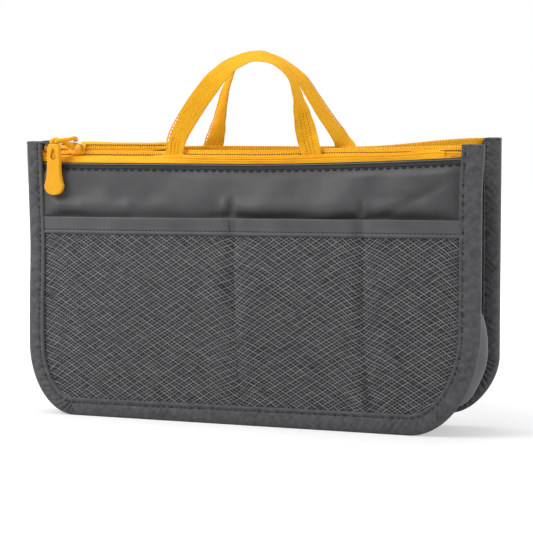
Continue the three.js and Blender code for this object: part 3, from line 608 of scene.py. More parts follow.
def nylon_folds(wall, x, z):
    above = z - hem_top(x)
    risen = np.maximum(above, 0)
    shaded = ramp(x, 78, 100)
    fade = lerp(1 - 0.75 * ramp(above, 6, 20), 1 - 0.5 * ramp(above, 9, 32), ramp(x, -70, -45))
    fade = lerp(fade, 1.15, shaded)
    depth = lerp(track(HOLLOWS, x), track(FULLNESS, x), ramp(above, 5, 14))
    near, far = (1 - np.exp(-(risen / reach) ** 1.7) for reach in (4.4, 15))
    slump = 1.5 * depth * lerp(near, far, 0.55 * shaded) * fade
    slant = (x - FOLD_X) - 0.9 * (z - FOLD_Z)
    fold = ramp(x, -30, 20) * 1.6 * hump(slant, 0, np.where(slant < 0, 24, 11))
    bead = hump(x, BEAD_X, 3.2) * (1 - ramp(above, 6, 16))
    dent = 0.9 * hump((x - DENT_X) - 1.9 * (z - DENT_Z), 0, 6) * ramp(x, 78, 90)
    groove = hump(x + 0.05 * (z - CREASE_Z), CREASE_GROOVE_X, 1.3)
    crease = 0.2 * hump(x, CREASE_RIDGE_X, 2.5) - 0.25 * groove
    crease = crease * (1 - 0.8 * ramp(above, 4, 14))
    waves = ramp(x, -66, -40) * 0.3 * ripple(x, z * 0.5, 42, 6, (-0.6, 0.6), 11)
    grain = 0.12 * ripple(x, z, 19, 6, seed=12)
    calm = 1 - 0.9 * hump(x, CALM_X, 15)
    drag = 0.36 * calm * ripple(x - z, 0.3 * (x + z), 40, 5, (-0.4, 0.4), 14)
    total = slump + fold + bead - dent + crease + waves + grain + drag
    top = panel_top(wall, x)
    under_top = 1 - ramp(z, top - 9, top - 4)
    edge = ramp(HALF - np.abs(x), BINDING_FACE, 22) * under_top
    lip = 1.3 * (1 - ramp(x + HALF, 11.5, 20)) * under_top
    return (np.maximum(total, -0.2) * edge + lip) * ramp(above, -2, 1)


# Shell with its foam, and the dark welt, the piping and stitches along its top; the piping's light grey is a
# painted highlight on the rolled edge
WELT_HEIGHT, PIPING_DROP, PIPING_RADIUS, TOPSTITCH_DROP = 3.7, 0.9, 0.34, 4.2
WELT_PUFF = ((0, 0.05), (0.1, 0.5), (0.28, 0.3), (0.7, 0.2), (0.9, 0.3), (1, 0.1))


def shell(wall):
    name = wall.name
    foam_x, foam_z = np.meshgrid(np.linspace(-FOAM_HALF, FOAM_HALF, 40), np.linspace(FOAM_LOW, FOAM_TOP, 20))
    foam = layer(f"{name}_foam", wall, foam_x, foam_z, CLEAR - CORE, -CLEAR, M_FOAM)
    rides(foam, "foam", f"{name}_stiffener")
    x, z = wall_grid(wall, lambda v: panel_top(wall, v), 300, 14, 100)
    outer = SHELL + nylon_folds(wall, x, z)
    obj = layer(f"{name}_shell_cloth", wall, x, z, 0, outer, M_NYLON)
    rides(obj, "nylon", f"{name}_shell")
    half = HALF - BINDING_FACE + 0.5
    line_x = np.linspace(-half, half, 220)
    top = panel_top(wall, line_x)
    t = np.linspace(0, 1, 13)[:, None]
    puff = track(WELT_PUFF, t) + 0.08 * ripple(line_x[None], t * 3.6, 6, 5, seed=13) * np.sin(pi * t)
    gx, gz = np.broadcast_arrays(line_x[None], top[None] - WELT_HEIGHT * (1 - t))
    welt = layer(f"{name}_top_welt", wall, gx, gz, SHELL - 0.2, SHELL + puff, M_WELT)
    pipe = wall_points(wall, line_x, top - PIPING_DROP, SHELL + 0.45)
    piping = mesh_object(f"{name}_top_piping", *tube_parts(pipe, PIPING_RADIUS, 8), M_PIPING_HIGHLIGHT)
    line_z = top - TOPSTITCH_DROP
    line = wall_points(wall, line_x, line_z, SHELL + nylon_folds(wall, line_x, line_z) + 0.1)
    stitches = sew(wall, "topstitch", "nylon", line, 4.8, 0.66, 0.55)
    for part in (welt, piping):
        rides(part, "nylon")
    wall_points(wall, x, z, outer)


def lining(wall):
    name = wall.name
    x, z = wall_grid(wall, lambda v: panel_top(wall, v) - 1, 90, 14, 30)
    rim = rim_distance(wall, x, z)
    outer = -lerp(CLEAR, CORE, ramp(rim, BINDING_FACE + 2.5, FIN_TAPER))
    slack = np.minimum(0.18 * ripple(x, z, 38, 6, seed=21) * ramp(rim, 16, 40), 0)
    obj = layer(f"{name}_lining_cloth", wall, x, z, outer - LINING + slack, outer, M_LINING)
    rides(obj, "lining", f"{name}_lining")
    wall_points(wall, x, z, outer)


def inner_pocket(wall):
    name = wall.name
    x, t = np.meshgrid(np.linspace(-INNER_POCKET_HALF, INNER_POCKET_HALF, 70), np.linspace(0, 1, 30))
    rounded = ramp(np.abs(x), INNER_POCKET_HALF - INNER_POCKET_CORNER, INNER_POCKET_HALF)
    z = lerp(INNER_POCKET_LOW + INNER_POCKET_CORNER * rounded, INNER_POCKET_TOP, t)
    outer = -CORE - LINING - 2 * CLEAR
    obj = layer(f"{name}_inner_pocket_cloth", wall, x, z, outer - POCKET, outer, M_LINING)
    rides(obj, "lining", f"{name}_inner_pocket")
    wall_points(wall, x, z, outer)


# The pocket billows between its upright seams and has a roll on both sides of each
def billow(x, z):
    part = np.zeros_like(x)
    for a, b in zip(POCKET_SEAMS, POCKET_SEAMS[1:]):
        part = np.where((x >= a) & (x <= b), (x - a) / (b - a), part)
    total = POCKET_BILLOW * np.sin(pi * clamp01(part)) ** 0.6 * ramp(z, 12, 95)
    for seam in POCKET_SEAMS[1:3]:
        away = x - lerp(seam + 1.4, seam - 1.7, clamp01((z - SEAM_LOW) / SEAM_SPAN))
        total = total + SEAM_ROLL * (1 - hump(away, 0, 4.6)) * hump(away, 0, 15) * ramp(z, 8, 26)
    return total


def mesh_inner(x, z):
    soft = 0.3 * ripple(x, z, 34, 6, seed=31) * ramp(HALF - np.abs(x), 14, 34) * window(z, 14, 34, 96, 110)
    return SHELL + CLEAR + billow(x, z) + np.maximum(soft, -0.2)


# Mesh pocket: a dark knitted ground with raised slanting strands both ways, which dip at the seams
MESH_TURN = radians(32)
MESH_PITCH, MESH_FACE, MESH_MIDDLE_Z = 1.75, 0.36, 62
STRAND_WAY = np.arange(-190, 190, 1.8)
STRAND_NUMBERS = range(-125, 145)
STRAND_DIPS = ((-5, 2.6), (75, 2.6), (-136, 3.0), (136, 3.0))


def drift(local, shortest, longest):
    total = np.zeros_like(STRAND_WAY)
    for _ in range(3):
        beat = 2 * pi / local.uniform(shortest, longest)
        total = total + np.sin(STRAND_WAY * beat + local.uniform(0, 6.3))
    return total / 1.7


def strand_parts(wall, local, turn, number):
    along = np.array((cos(turn), sin(turn)))
    across = np.array((-along[1], along[0]))
    tall, broad = (0.46, 0.3) if number % 2 == 0 else (0.15, 0.2)
    offset = number * MESH_PITCH + local.uniform(-0.15, 0.15)
    wander = 0.18 * drift(local, 28, 70)
    p = np.array((0, MESH_MIDDLE_Z)) + along * STRAND_WAY[:, None] + across * (offset + wander)[:, None]
    for seam, dip in STRAND_DIPS:
        p[:, 1] = p[:, 1] - dip * hump(p[:, 0], seam, 9)
    x, z = p[:, 0], p[:, 1]
    keep = (rim_distance(wall, x, z) > BINDING_FACE - 0.8) & (z < hem_top(x) - HEM_HEIGHT + 0.6)
    height = tall * clamp01(0.8 + 0.4 * drift(local, 14, 46)) - 0.02
    half = broad * (0.85 + 0.2 * drift(local, 9, 30))
    edges = np.flatnonzero(np.diff(np.concatenate([[0], keep.astype(int), [0]])))
    parts = []
    for a, b in zip(edges[::2], edges[1::2]):
        if b - a < 3:
            continue
        qx, qz, wide = x[a:b], z[a:b], half[a:b]
        face = mesh_inner(qx, qz) + MESH_FACE
        low, high = (wall_points(wall, qx + across[0] * w * wide, qz + across[1] * w * wide, face - 0.08)
                     for w in (-1, 1))
        rows = np.stack([low, wall_points(wall, qx, qz, face + height[a:b]), high], 1)
        parts.append((rows[:, ::-wall.side].reshape(-1, 3), grid_faces(b - a, 3)))
    return parts


def mesh_pocket(wall):
    name = wall.name
    x, z = wall_grid(wall, lambda v: hem_top(v) - 1, 200, 16, 80)
    inner = mesh_inner(x, z)
    ground = layer(f"{name}_mesh_ground", wall, x, z, inner, inner + MESH_FACE, M_GROUND)
    rides(ground, "mesh", f"{name}_mesh_pocket")
    local = np.random.default_rng(wall.mesh_seed)
    parts = []
    for turn in (MESH_TURN, -MESH_TURN):
        for number in STRAND_NUMBERS:
            parts.extend(strand_parts(wall, local, turn, number))
    net = mesh_object(f"{name}_mesh_net", *merged(parts), M_STRAND)
    rides(net, "mesh")
    wall_points(wall, x, z, inner + MESH_FACE)


# Hem band with a ridge and a lip, its line of stitches and a short upright seam
HEM_STITCH_ROW, HEM_SEAM_ROWS = 6, slice(7, 24)


def pocket_hem(wall):
    name = wall.name
    left, right = POCKET_SEAMS[0], POCKET_SEAMS[3]
    x = np.linspace(left, right, 320)
    t = np.linspace(0, 1, 25)[:, None]
    gx = np.tile(x, (len(t), 1))
    gz = hem_top(gx) - HEM_HEIGHT * (1 - t)
    round_edges = 1 - np.abs(2 * t - 1) ** 10
    ridge = 0.55 * hump(t, 0.12, 0.06) - 0.3 * hump(t, 0.25, 0.04)
    lip = 0.35 * hump(t, 0.95, 0.04)
    puff = 0.14 * ripple(gx, gz, 16, 6, seed=41)
    seam = -0.6 * hump(gx, HEM_JOIN_X, 0.5)
    gape = 1.7 * ramp(t, 0.3, 1) * np.sin(pi * clamp01((gx - left) / (right - left))) ** 0.5
    inner = mesh_inner(gx, gz) + MESH_FACE + 0.3 + gape
    outer = inner + HEM_CLOTH * (0.35 + 0.65 * round_edges) + ridge + lip + puff * round_edges + seam
    over = wall_points(wall, gx, gz, outer)
    obj = layer(f"{name}_hem_band", wall, gx, gz, inner, outer, M_HEM)
    rides(obj, "binding", f"{name}_pocket_hem")
    stitches = sew(wall, "hem_stitch", "binding", over[HEM_STITCH_ROW], 2.6, 0.66, 0.28)
    middle = int(np.argmin(np.abs(x - HEM_JOIN_X)))
    join = sew(wall, "hem_seam", "binding", over[HEM_SEAM_ROWS, middle], 1.9, 0.6, 0.26)


# Top and bottom places of the two stitched lines that divide the pocket
DIVISIONS = ((-6.7, -3.6), (73.3, 76.8))


def pocket_divisions(wall):
    z = np.linspace(SEAM_LOW, SEAM_HIGH, 80)
    for number, (top, bottom) in enumerate(DIVISIONS):
        x = lerp(bottom, top, (z - SEAM_LOW) / SEAM_SPAN)
        line = wall_points(wall, x, z, mesh_inner(x, z) + MESH_FACE + 0.05)
        sew(wall, f"division_stitch_{number}", "mesh", line, 3.0, 0.72, 0.2)


# Rim of a wall from its left top round the base: place and outward direction of each point
def rim_path(wall, height, side_steps, arc_steps, base_steps):
    left, right = wall.corners
    rows = []

    def arc(corner, sign, turn):
        n = np.array((sin(turn) / corner[0], cos(turn) / corner[1]))
        n = n / np.linalg.norm(n)
        x = HALF - corner[0] + corner[0] * sin(turn)
        rows.append((sign * x, corner[1] - corner[1] * cos(turn), sign * n[0], -n[1]))
    for k in range(side_steps):
        rows.append((-HALF, lerp(height, left[1], k / side_steps), -1, 0))
    for k in range(arc_steps):
        arc(left, -1, pi / 2 * (1 - k / arc_steps))
    for k in range(base_steps):
        rows.append((lerp(-HALF + left[0], HALF - right[0], k / base_steps), 0, 0, -1))
    for k in range(arc_steps):
        arc(right, 1, pi / 2 * (k / arc_steps))
    for k in range(side_steps + 1):
        rows.append((HALF, lerp(right[1], height, k / side_steps), 1, 0))
    return np.array(rows)


def swept(path, inset, offset, side):
    x = path[:, None, 0] - path[:, None, 2] * inset
    z = path[:, None, 1] - path[:, None, 3] * inset
    return place(x, side * (seam_gap(x) + offset), z)


# The tops of the bound sides lean and stand a little unevenly
def settled(wall, points):
    share = points[..., 0] / WIDTH + 0.5
    z = points[..., 2]
    up = ramp(z, 135, 166)
    rise = lerp(*wall.end_rise, share)
    lean = np.where(share < 0.5, *wall.end_lean)
    waist = wall.waist * np.where(share < 0.5, hump(z, 105, 28), 0)
    return points + joined(lean * up ** 1.5 + waist, 0 * up, rise * up)


# Edge binding: how far in from the edge each row of its face lies, and how far it stands out
FACE_ROWS = np.array([BINDING_FACE, 10.2, 9.7, 9.0, 8.3, 7.6, 6.9, 6.2, 5.5, 4.7, 3.8, 2.9, 2.0, 0.95, 0])
FACE_PUFF = np.array([-0.7, 0.3, 0.5, 0.3, 0.15, 0.1, 0.1, 0.15, 0.2, 0.22, 0.2, 0.1, -0.05, -0.5, -1.2])


def binding(wall):
    name, side = wall.name, wall.side
    path = rim_path(wall, wall.height, 110, 80, 170)
    s = travelled(path[:, :2])[:, None]
    rows = len(FACE_ROWS)
    share = path[:, None, 0] / WIDTH + 0.5
    seam = lerp(*wall.seam, share)
    e = np.concatenate([FACE_ROWS, FACE_ROWS[::-1]])[None] * lerp(*wall.broad, share)
    strength = window(e, 0.4, 3, seam, seam + 1.6)
    pucker = 0.5 * np.sin((s - 0.9 * e) * 2 * pi / 4.2 + 1.7 * ripple(s, e, 31, 5, seed=51)) * strength
    pucker = pucker * (0.6 + 0.5 * ripple(s, e, 24, 5, seed=53))
    pucker = pucker + 0.25 * ripple(s, e, 6, 6, seed=52) * strength - 0.6 * hump(e, seam, 0.6)
    outer = np.concatenate([BINDING_OUTER + FACE_PUFF, BINDING_INNER - FACE_PUFF[::-1]])
    over = settled(wall, swept(path, e, outer[None] + pucker * np.repeat((1, -1), rows), side))
    inner = np.repeat((BINDING_OUTER - BINDING_CLOTH, BINDING_INNER + BINDING_CLOTH), rows)
    under = settled(wall, swept(path, np.maximum(e, BINDING_CLOTH), inner[None], side))
    obj = slab(f"{name}_binding_tape", over, under, M_BIND)
    rides(obj, "binding", f"{name}_binding")
    for label, offset, sign in (("outside", BINDING_OUTER - 0.3, 1), ("inside", BINDING_INNER + 0.3, -1)):
        line = settled(wall, swept(path, seam, offset, side))[:, 0]
        sew(wall, f"binding_stitch_{label}", "binding", line, 3.0, sign=sign)
    binding_ends(wall)


# The tape's ends are closed by small domes
def binding_ends(wall):
    u, v = np.meshgrid(np.linspace(0, 1, 12), np.linspace(0, 1, 9))
    out = lerp(BINDING_INNER + 0.2, BINDING_OUTER - 0.2, v)
    dome = 0.9 * (1 - (2 * v - 1) ** 4) * (1 - (2 * u - 1) ** 8)
    base = wall.height - 0.7
    for sign, label, broad in zip((-1, 1), ("left", "right"), wall.broad):
        x = sign * (HALF - lerp(0.15, BINDING_FACE * broad - 0.1, u))
        y = wall.side * (seam_gap(x) + out)
        top, low = (settled(wall, joined(x, y, z)) for z in (base + dome, base - 0.6 + 0 * dome))
        rides(slab(f"{wall.name}_binding_end_{label}", top, low, M_BIND), "binding")


# Gusset: folded in up the sides, swollen out at the lower corners
GUSSET_LIE = BINDING_FACE + 1.2
GUSSET_SEWN = (2.4, 5, 8, 10.4, GUSSET_LIE)


def gusset_seat(p, inset):
    return float(seam_gap(p[0] - p[2] * inset)) + GUSSET_FLANGE


def gusset():
    sides = ([], [])
    v = np.linspace(-1, 1, 37)
    free = (v + 1) / 2
    sewn = len(GUSSET_SEWN)
    share = np.concatenate([np.zeros(sewn), free, np.ones(sewn)])
    for f, r in zip(*(rim_path(wall, PANEL_TOP - 2, 44, 50, 60) for wall in (FRONT, REAR))):
        z = (f[1] + r[1]) / 2
        up_side = abs(f[2]) * float(ramp(z, 64, 116))
        low_corner = float(window(z, -8, 14, 50, 104))
        start = -gusset_seat(f, GUSSET_LIE) + GUSSET_PAST
        end = gusset_seat(r, GUSSET_LIE) - GUSSET_PAST
        middle = GUSSET_LIE + min(GUSSET_FOLD, end * 0.85) * up_side - GUSSET_SWELL * low_corner
        y = lerp(start, end, free)
        inset = lerp(GUSSET_LIE, middle, 1 - np.abs(v) ** 1.6)
        folds = ripple(y, np.full_like(y, z + f[0] * 0.4), 26, 5, seed=61)
        inset = inset + 0.5 * folds * (1 - np.abs(v) ** 4) * (0.3 + up_side)
        front = [(-gusset_seat(f, e), e) for e in GUSSET_SEWN]
        rear = [(gusset_seat(r, e), e) for e in GUSSET_SEWN[::-1]]
        section = np.array([*front, *zip(y, inset), *rear])
        normal = -beside(run_of(section))
        for rows, d in zip(sides, (GUSSET / 2, -GUSSET / 2)):
            q = section + normal * d
            x, z_rim, nx, nz = (lerp(f[k], r[k], share) for k in range(4))
            rows.append(place(x - nx * q[:, 1], q[:, 0], z_rim - nz * q[:, 1]))
    over, under = np.array(sides[0]), np.array(sides[1])
    obj = slab("gusset_cloth", over, under, M_GUSSET_LIT)
    rides(obj, "nylon", "gusset")


# Zip. Sections are points of distance from the middle and height, for each place along it
def coil_seat(wall, x):
    return np.radians(track(wall.tilt, x)), track(wall.out, x), track(wall.lift, x)


def seated(wall, x, z, offset):
    return joined(wall_out(wall, x, z, offset), z)


# Foot, lip, crest and back edge of the tape
def tape_section(wall, x):
    into = ramp(np.abs(x), 110, 119)
    over = ramp(np.abs(x), 121, 133)
    seat = lerp(-CORE + 1.4 * CLEAR + TAPE / 2, CHANNEL_MIDDLE, over)
    top = panel_top(wall, x)
    tilt, out, lift = coil_seat(wall, x)
    back = COIL_REACH + CLEAR
    points = [seated(wall, x, lerp(top - SEWN_DEPTH, top + 0.7, into), seat),
              seated(wall, x, lerp(top + 0.5, top + 2.2, into), seat)]
    for reach in (back + track(wall.crest, x), back):
        points.append(joined(out + reach * np.cos(tilt), lift - reach * np.sin(tilt)))
    return np.stack(points, 1)


def fine_section(section, steps=8, passes=5):
    t = np.linspace(0, section.shape[1] - 1, steps * (section.shape[1] - 1) + 1)
    i = np.minimum(t.astype(int), section.shape[1] - 2)
    f = (t - i)[None, :, None]
    line = section[:, i] * (1 - f) + section[:, i + 1] * f
    for _ in range(passes):
        line[:, 1:-1] = (line[:, :-2] + 2 * line[:, 1:-1] + line[:, 2:]) / 4
    return line


def offset_line(line, d):
    return line + beside(unit(np.gradient(line, axis=1))) * np.asarray(d)[..., None]


def zip_points(wall, x, line):
    gx = np.broadcast_to(x[:, None], line.shape[:2])
    return joined(gx, wall.side * line[..., 0], line[..., 1])


# Point of the tape's upper part at a height
def at_height(section, z):
    lip, crest, back = section[:, 1], section[:, 2], section[:, 3]
    low = lerp(lip[:, 0], crest[:, 0], clamp01((z - lip[:, 1]) / np.maximum(0.2, crest[:, 1] - lip[:, 1])))
    share = clamp01((z - crest[:, 1]) / np.maximum(0.2, np.abs(back[:, 1] - crest[:, 1])))
    return joined(np.where(z <= crest[:, 1], low, lerp(crest[:, 0], back[:, 0], share)), z)


STRAP_INNER = TAPE / 2 + 1.3 * CLEAR
FACING_INNER = STRAP_INNER + STRAP + CLEAR


# 1 along the closed chain, where the coils lie side by side
def in_chain(x):
    return window(x, -130, -124, CHAIN_END, -54)


def facing_top(wall, x):
    return track(wall.lift, x) - lerp(wall.bare, 4.2, in_chain(x))


def facing_section(wall, x):
    section = tape_section(wall, x)
    top = facing_top(wall, x)
    middle = (section[:, 1, 1] + top) / 2
    return np.stack([section[:, 0], section[:, 1], at_height(section, middle), at_height(section, top)], 1)


def zip_tape(wall):
    name = wall.name
    x = np.linspace(-TAPE_END, TAPE_END, 260)
    line = fine_section(tape_section(wall, x), passes=2)
    over, under = (zip_points(wall, x, offset_line(line, d)) for d in (TAPE / 2, -TAPE / 2))
    obj = slab(f"{name}_zip_tape_cloth", over, under, M_TAPE)
    rides(obj, "webbing", f"{name}_zip_tape")


# Ribbed band outside the zip tape, with a groove where the chain is open
FACING_LEFT, FACING_RIGHT, FACING_DEPTH, FACING_SEAT = -135.6, 133.4, 4.5, -0.85


def facing_band(wall):
    name = wall.name
    x = np.linspace(FACING_LEFT, FACING_RIGHT, 300)
    top = panel_top(wall, x)
    section = tape_section(wall, x)
    out = beside(unit(section[:, 2] - section[:, 1]))
    off = lerp(FACING_INNER, 0.45, ramp(np.abs(x), 112, 131))
    head = at_height(section, facing_top(wall, x)) + out * off[:, None]
    foot, lip = (seated(wall, x, z, FACING_SEAT) for z in (top - FACING_DEPTH, top + 0.3))
    line = fine_section(np.stack([foot, lip, (lip + head) / 2 + out * 0.25, head], 1), 12)
    t = np.linspace(0, 1, line.shape[1])[None]
    groove = 0.3 * hump(t, 0.55, 0.05) - 0.7 * hump(t, 0.66, 0.045) + 0.3 * hump(t, 0.75, 0.05)
    ribs = 0.1 * np.cos(t * 2 * pi * 12) + 0.35 * hump(t, 0.96, 0.04)
    ribs = ribs + (1 - in_chain(x))[:, None] * groove
    wavy = 0.1 * ripple(x[:, None], t * 20, 17, 5, seed=71)
    over = zip_points(wall, x, offset_line(line, FACING + ribs + wavy))
    obj = slab(f"{name}_facing_band", over, zip_points(wall, x, line), M_TAPE)
    rides(obj, "webbing", f"{name}_facing_tape")


# One winding of the coil: its rings' places along the tooth, half widths and half thicknesses
TOOTH_ALONG = np.array([-1.45, -1.0, -0.4, 0.3, 0.9, 1.25, 1.4])[:, None]
TOOTH_WIDE = np.array([0.3, 0.32, 0.4, 0.5, 0.54, 0.42, 0.18])[:, None]
TOOTH_THICK = np.array([0.5, 0.7, 0.8, 0.86, 0.85, 0.6, 0.2])[:, None]
TOOTH_SIDES = 8
TOOTH_CAP = np.array([[0, 1, 2, 3], [3, 4, 5, 0], [5, 6, 7, 0]])


def coil_loops(wall):
    count = int(2 * COIL_END / COIL_PITCH)
    turn = np.linspace(0, 2 * pi, TOOTH_SIDES, endpoint=False)[None]
    rings = len(TOOTH_ALONG)
    faces = np.concatenate([ring_faces(rings, TOOTH_SIDES), TOOTH_CAP + (rings - 1) * TOOTH_SIDES])
    side = TOOTH_THICK * np.sin(turn)
    parts = []
    for x in -COIL_END + (np.arange(count) + 0.5) * 2 * COIL_END / count:
        tilt, out, lift = coil_seat(wall, x)
        meshed = window(x, CHAIN_START, -122, CHAIN_END - 2, -50)
        gx = x + lerp(1, 0.8, meshed) * TOOTH_WIDE * np.cos(turn)
        y = wall.side * (out - TOOTH_ALONG * np.cos(tilt) - side * np.sin(tilt))
        z = lift + TOOTH_ALONG * np.sin(tilt) - side * np.cos(tilt)
        parts.append((joined(gx, y, z).reshape(-1, 3), faces))
    coil = mesh_object(f"{wall.name}_coil_loops", *merged(parts), M_COIL)
    rides(coil, "coil", f"{wall.name}_zip_coil")


# Woven bed under the windings, and a row of dark dots at their roots: painted shade of the gaps between the
# windings
def coil_bed(wall):
    name = wall.name
    x = np.linspace(-COIL_END, COIL_END, 200)
    tilt, out, lift = coil_seat(wall, x)
    chain = window(x, CHAIN_START, -122, CHAIN_END - 2, -58)
    sewn = sum(1 - ramp(np.abs(x - foot), STRAP_HALF + 0.4, STRAP_HALF + 2) for foot in wall.feet)
    ledge = lerp(0.58, 1.9, (1 - chain) * (1 - sewn) * (1 - ramp(np.abs(x), 112, 126)))

    def row(a, b):
        y = wall.side * (out + a * np.cos(tilt) + b * np.sin(tilt))
        return joined(x, y, lift - a * np.sin(tilt) + b * np.cos(tilt))
    reach = (3.7, 2.6, 1.7, lerp(-1.15, -1.78, chain))
    heights = (ledge, ledge, lerp(0.58, 0.3, chain), lerp(0.55, 0.25, chain))
    upper = np.stack([row(a, b) for a, b in zip(reach, heights)], 1)
    lower = np.stack([row(a, -0.55) for a in reach], 1)
    rides(slab(f"{name}_coil_bed", upper, lower, M_COIL_BED), "webbing")
    normal = joined(0 * x, wall.side * np.sin(tilt), np.cos(tilt))
    # The dark dots along the roots are painted shade of the gaps between the windings
    line = row(1.72, lerp(0.64, ledge, 0.14))
    rides(stitch_row(f"{name}_coil_root", line, normal, M_ROOT_SHADE, 1.5, 0.42, 0.42), "coil")


# Handles: each strap is sewn in under the facing at both feet
FOOT_ROWS, LOOP_ROWS, LOOP_OUT = 12, 170, 7.2
SMOOTHED_ROWS = (np.arange(8, 24), np.arange(-24, -8))


def strap_edges(wall, x):
    edges = np.array([x - STRAP_HALF, x + STRAP_HALF])
    return edges, facing_section(wall, edges)


def strap_foot(wall, x):
    edges, section = strap_edges(wall, x)
    out = beside(unit(section[:, 3] - section[:, 2]))
    inner, outer = (section[:, 3] + out * d for d in (FACING_INNER, FACING_INNER + FACING))
    z = np.maximum(inner[:, 1], outer[:, 1]) + CLEAR
    points = joined(edges, wall.side * inner[:, 0], z)
    at = points.mean(0)
    at[2] = z.max()
    run = points[1] - points[0]
    run[2] = 0
    return at, run / np.linalg.norm(run)


# Centres of the rows of a sewn end, from the bottom up, and directions across it
def sewn_end(wall, x, sign):
    edges, section = strap_edges(wall, x)
    centres, widths = [], []
    for k in np.linspace(0.25, 2.85, FOOT_ROWS):
        i = int(k)
        run = unit(section[:, i + 1] - section[:, i])
        q = lerp(section[:, i], section[:, i + 1], k - i) + beside(run) * (STRAP_INNER + STRAP / 2)
        p = joined(edges, wall.side * q[:, 0], q[:, 1])
        centres.append(p.mean(0))
        widths.append(unit(p[1] - p[0]) * sign)
    return np.array(centres), np.array(widths)


def strap_rows(wall):
    slant = wall.slant
    first_x, last_x = wall.feet
    foot, foot_run = strap_foot(wall, first_x)
    other, other_run = strap_foot(wall, last_x)
    spine = [foot]
    for i, (run, up) in enumerate(wall.climb):
        t = (i + 1) / (len(wall.climb) + 1)
        y = lerp(lerp(foot[1], other[1], t), wall.side * LOOP_OUT, sin(pi * t))
        spine.append((first_x + slant * run, y, foot[2] + up))
    line = smooth_curve([*spine, other], LOOP_ROWS)
    along = run_of(line)
    t = np.linspace(0, 1, len(line))
    turn = np.radians(track(wall.turns, t))[:, None]
    flat = unit(joined(-along[:, 2], 0 * t, along[:, 0])) * slant
    sewn = np.where((t < 0.5)[:, None], foot_run, other_run)
    sewn = sewn * np.sign((sewn * flat).sum(1))[:, None]
    hold = (1 - ramp(np.minimum(t, 1 - t), 0.005, np.where(t < 0.5, *wall.hold)))[:, None]
    width = lerp(flat * np.cos(turn) + np.array((0, 1, 0)) * np.sin(turn), sewn, hold)
    width = unit(width - along * (width * along).sum(1)[:, None] * (1 - hold))
    first, first_width = sewn_end(wall, first_x, np.sign(foot_run @ width[0]))
    last, last_width = sewn_end(wall, last_x, np.sign(other_run @ width[-1]))
    centre = np.concatenate([first, line, last[::-1]])
    width = np.concatenate([first_width, width, last_width[::-1]])
    for _ in range(2):
        for k in SMOOTHED_ROWS:
            centre[k] = (centre[k - 1] + 2 * centre[k] + centre[k + 1]) / 4
    return centre, width, unit(np.cross(run_of(centre), width))


# One edge of the strap is a ladder of short bars where it has holes
BAR_REACH = (4.6, 5.4, STRAP_HALF - 0.4)
BAR_PITCH, BAR_RADIUS, EDGE_RADIUS, HOLE_REACH = 2.0, 0.46, 0.36, 4.85
DOT_COLUMNS = (-2.4, 0, 2.4)


def handle(wall):
    name = wall.name
    centre, width, face = strap_rows(wall)
    t = clamp01((np.arange(len(centre)) - FOOT_ROWS) / (LOOP_ROWS - 1))
    open_edge = sum(window(t, a - 0.01, a + 0.01, b - 0.01, b + 0.01) for a, b in wall.holes)
    u = np.linspace(-1, 1, 45)
    full = STRAP_HALF - 0.3
    reach = np.where(u[None] > 0, lerp(full, HOLE_REACH, open_edge)[:, None], full)
    ribs = 0.09 * np.cos(u * pi * 9)
    crown = (STRAP / 2 * (1 - 0.35 * np.abs(u) ** 8) - 0.1 + ribs)[None, :, None] * face[:, None]
    middle = centre[:, None] + width[:, None] * (u[None] * reach)[:, :, None]
    parts = [slab(f"{name}_strap", middle + crown, middle - crown, M_WEB)]
    lines = []
    for sign in (-1, 1):
        edge = centre + width * sign * (STRAP_HALF - EDGE_RADIUS)
        lines.append(tube_parts(edge, EDGE_RADIUS, 7, face[0]))
    at = travelled(centre)
    for s in np.arange(1, at[-1] - 1, BAR_PITCH):
        if np.interp(s, at, open_edge) < 0.5:
            continue
        c, w, f = (sampled(v, at, s) for v in (centre, width, face))
        lines.append(tube_parts(np.array([c + w * r for r in BAR_REACH]), BAR_RADIUS, 6, f))
    parts.append(mesh_object(f"{name}_strap_edges", *merged(lines), M_WEB))
    for number, (a, b) in enumerate(wall.dots):
        inside = (t >= a) & (t <= b)
        for column, w in enumerate(DOT_COLUMNS):
            line = (centre + width * w + face * (STRAP / 2 - 0.05))[inside]
            label = f"{name}_strap_dots_{number}_{column}"
            parts.append(stitch_row(label, line, face[inside], M_DOTS, 1.7, 0.5, 0.22))
    feet = [strap_foot(wall, x)[0] for x in wall.feet]
    for part in parts:
        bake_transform(part)
    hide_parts(f"{name}_handle", f"{name}_handle_left_end", f"{name}_handle_right_end")


# Pull cord: out of the grip, round the bridge's bar and back
CORD_SIDES, STRAND_APART, WEAVE_ALONG, WEAVE_ROUND = 14, 1.6, 44, 0.4


def pull():
    bar_y = -BRIDGE_BAR * sin(CHAIN_ROLL)
    bar_z = BRIDGE_BAR * cos(CHAIN_ROLL)
    wrap = BRIDGE_WIRE + CORD_RADIUS + 1.5 * CLEAR
    left, right = GRIP_X - STRAND_APART, GRIP_X + STRAND_APART
    route = [
        (left, GRIP_Y, GRIP_Z + CLEAR), (left, GRIP_Y, GRIP_Z + 1.5),
        (GRIP_X + 0.4, GRIP_Y + 2.8, GRIP_Z + 2.6), (-4, bar_y - 3.4, bar_z - 0.4),
        (-1.1, bar_y, bar_z - wrap), (0, bar_y + wrap, bar_z),
        (1.1, bar_y, bar_z + wrap), (-0.8, bar_y - 3.8, bar_z + 2), (-4.2, bar_y - 7.4, bar_z + 1.4),
        (right, GRIP_Y + 0.2, GRIP_Z + 1.8), (right, GRIP_Y, GRIP_Z + CLEAR)]
    line = smooth_curve([(SLIDER_X + x, y, CHAIN_Z + z) for x, y, z in route], 120)
    points, faces = tube_parts(line, CORD_RADIUS, CORD_SIDES, (1, 0, 0))
    s = np.repeat(np.linspace(0, WEAVE_ALONG, len(line)), CORD_SIDES)
    k = np.tile(np.arange(CORD_SIDES) * WEAVE_ROUND, len(line))
    cord = mesh_object("pull_cord_loop", points, faces, M_CORD, joined(k, s))
    rides(cord, "webbing", "pull_cord", body="pull")
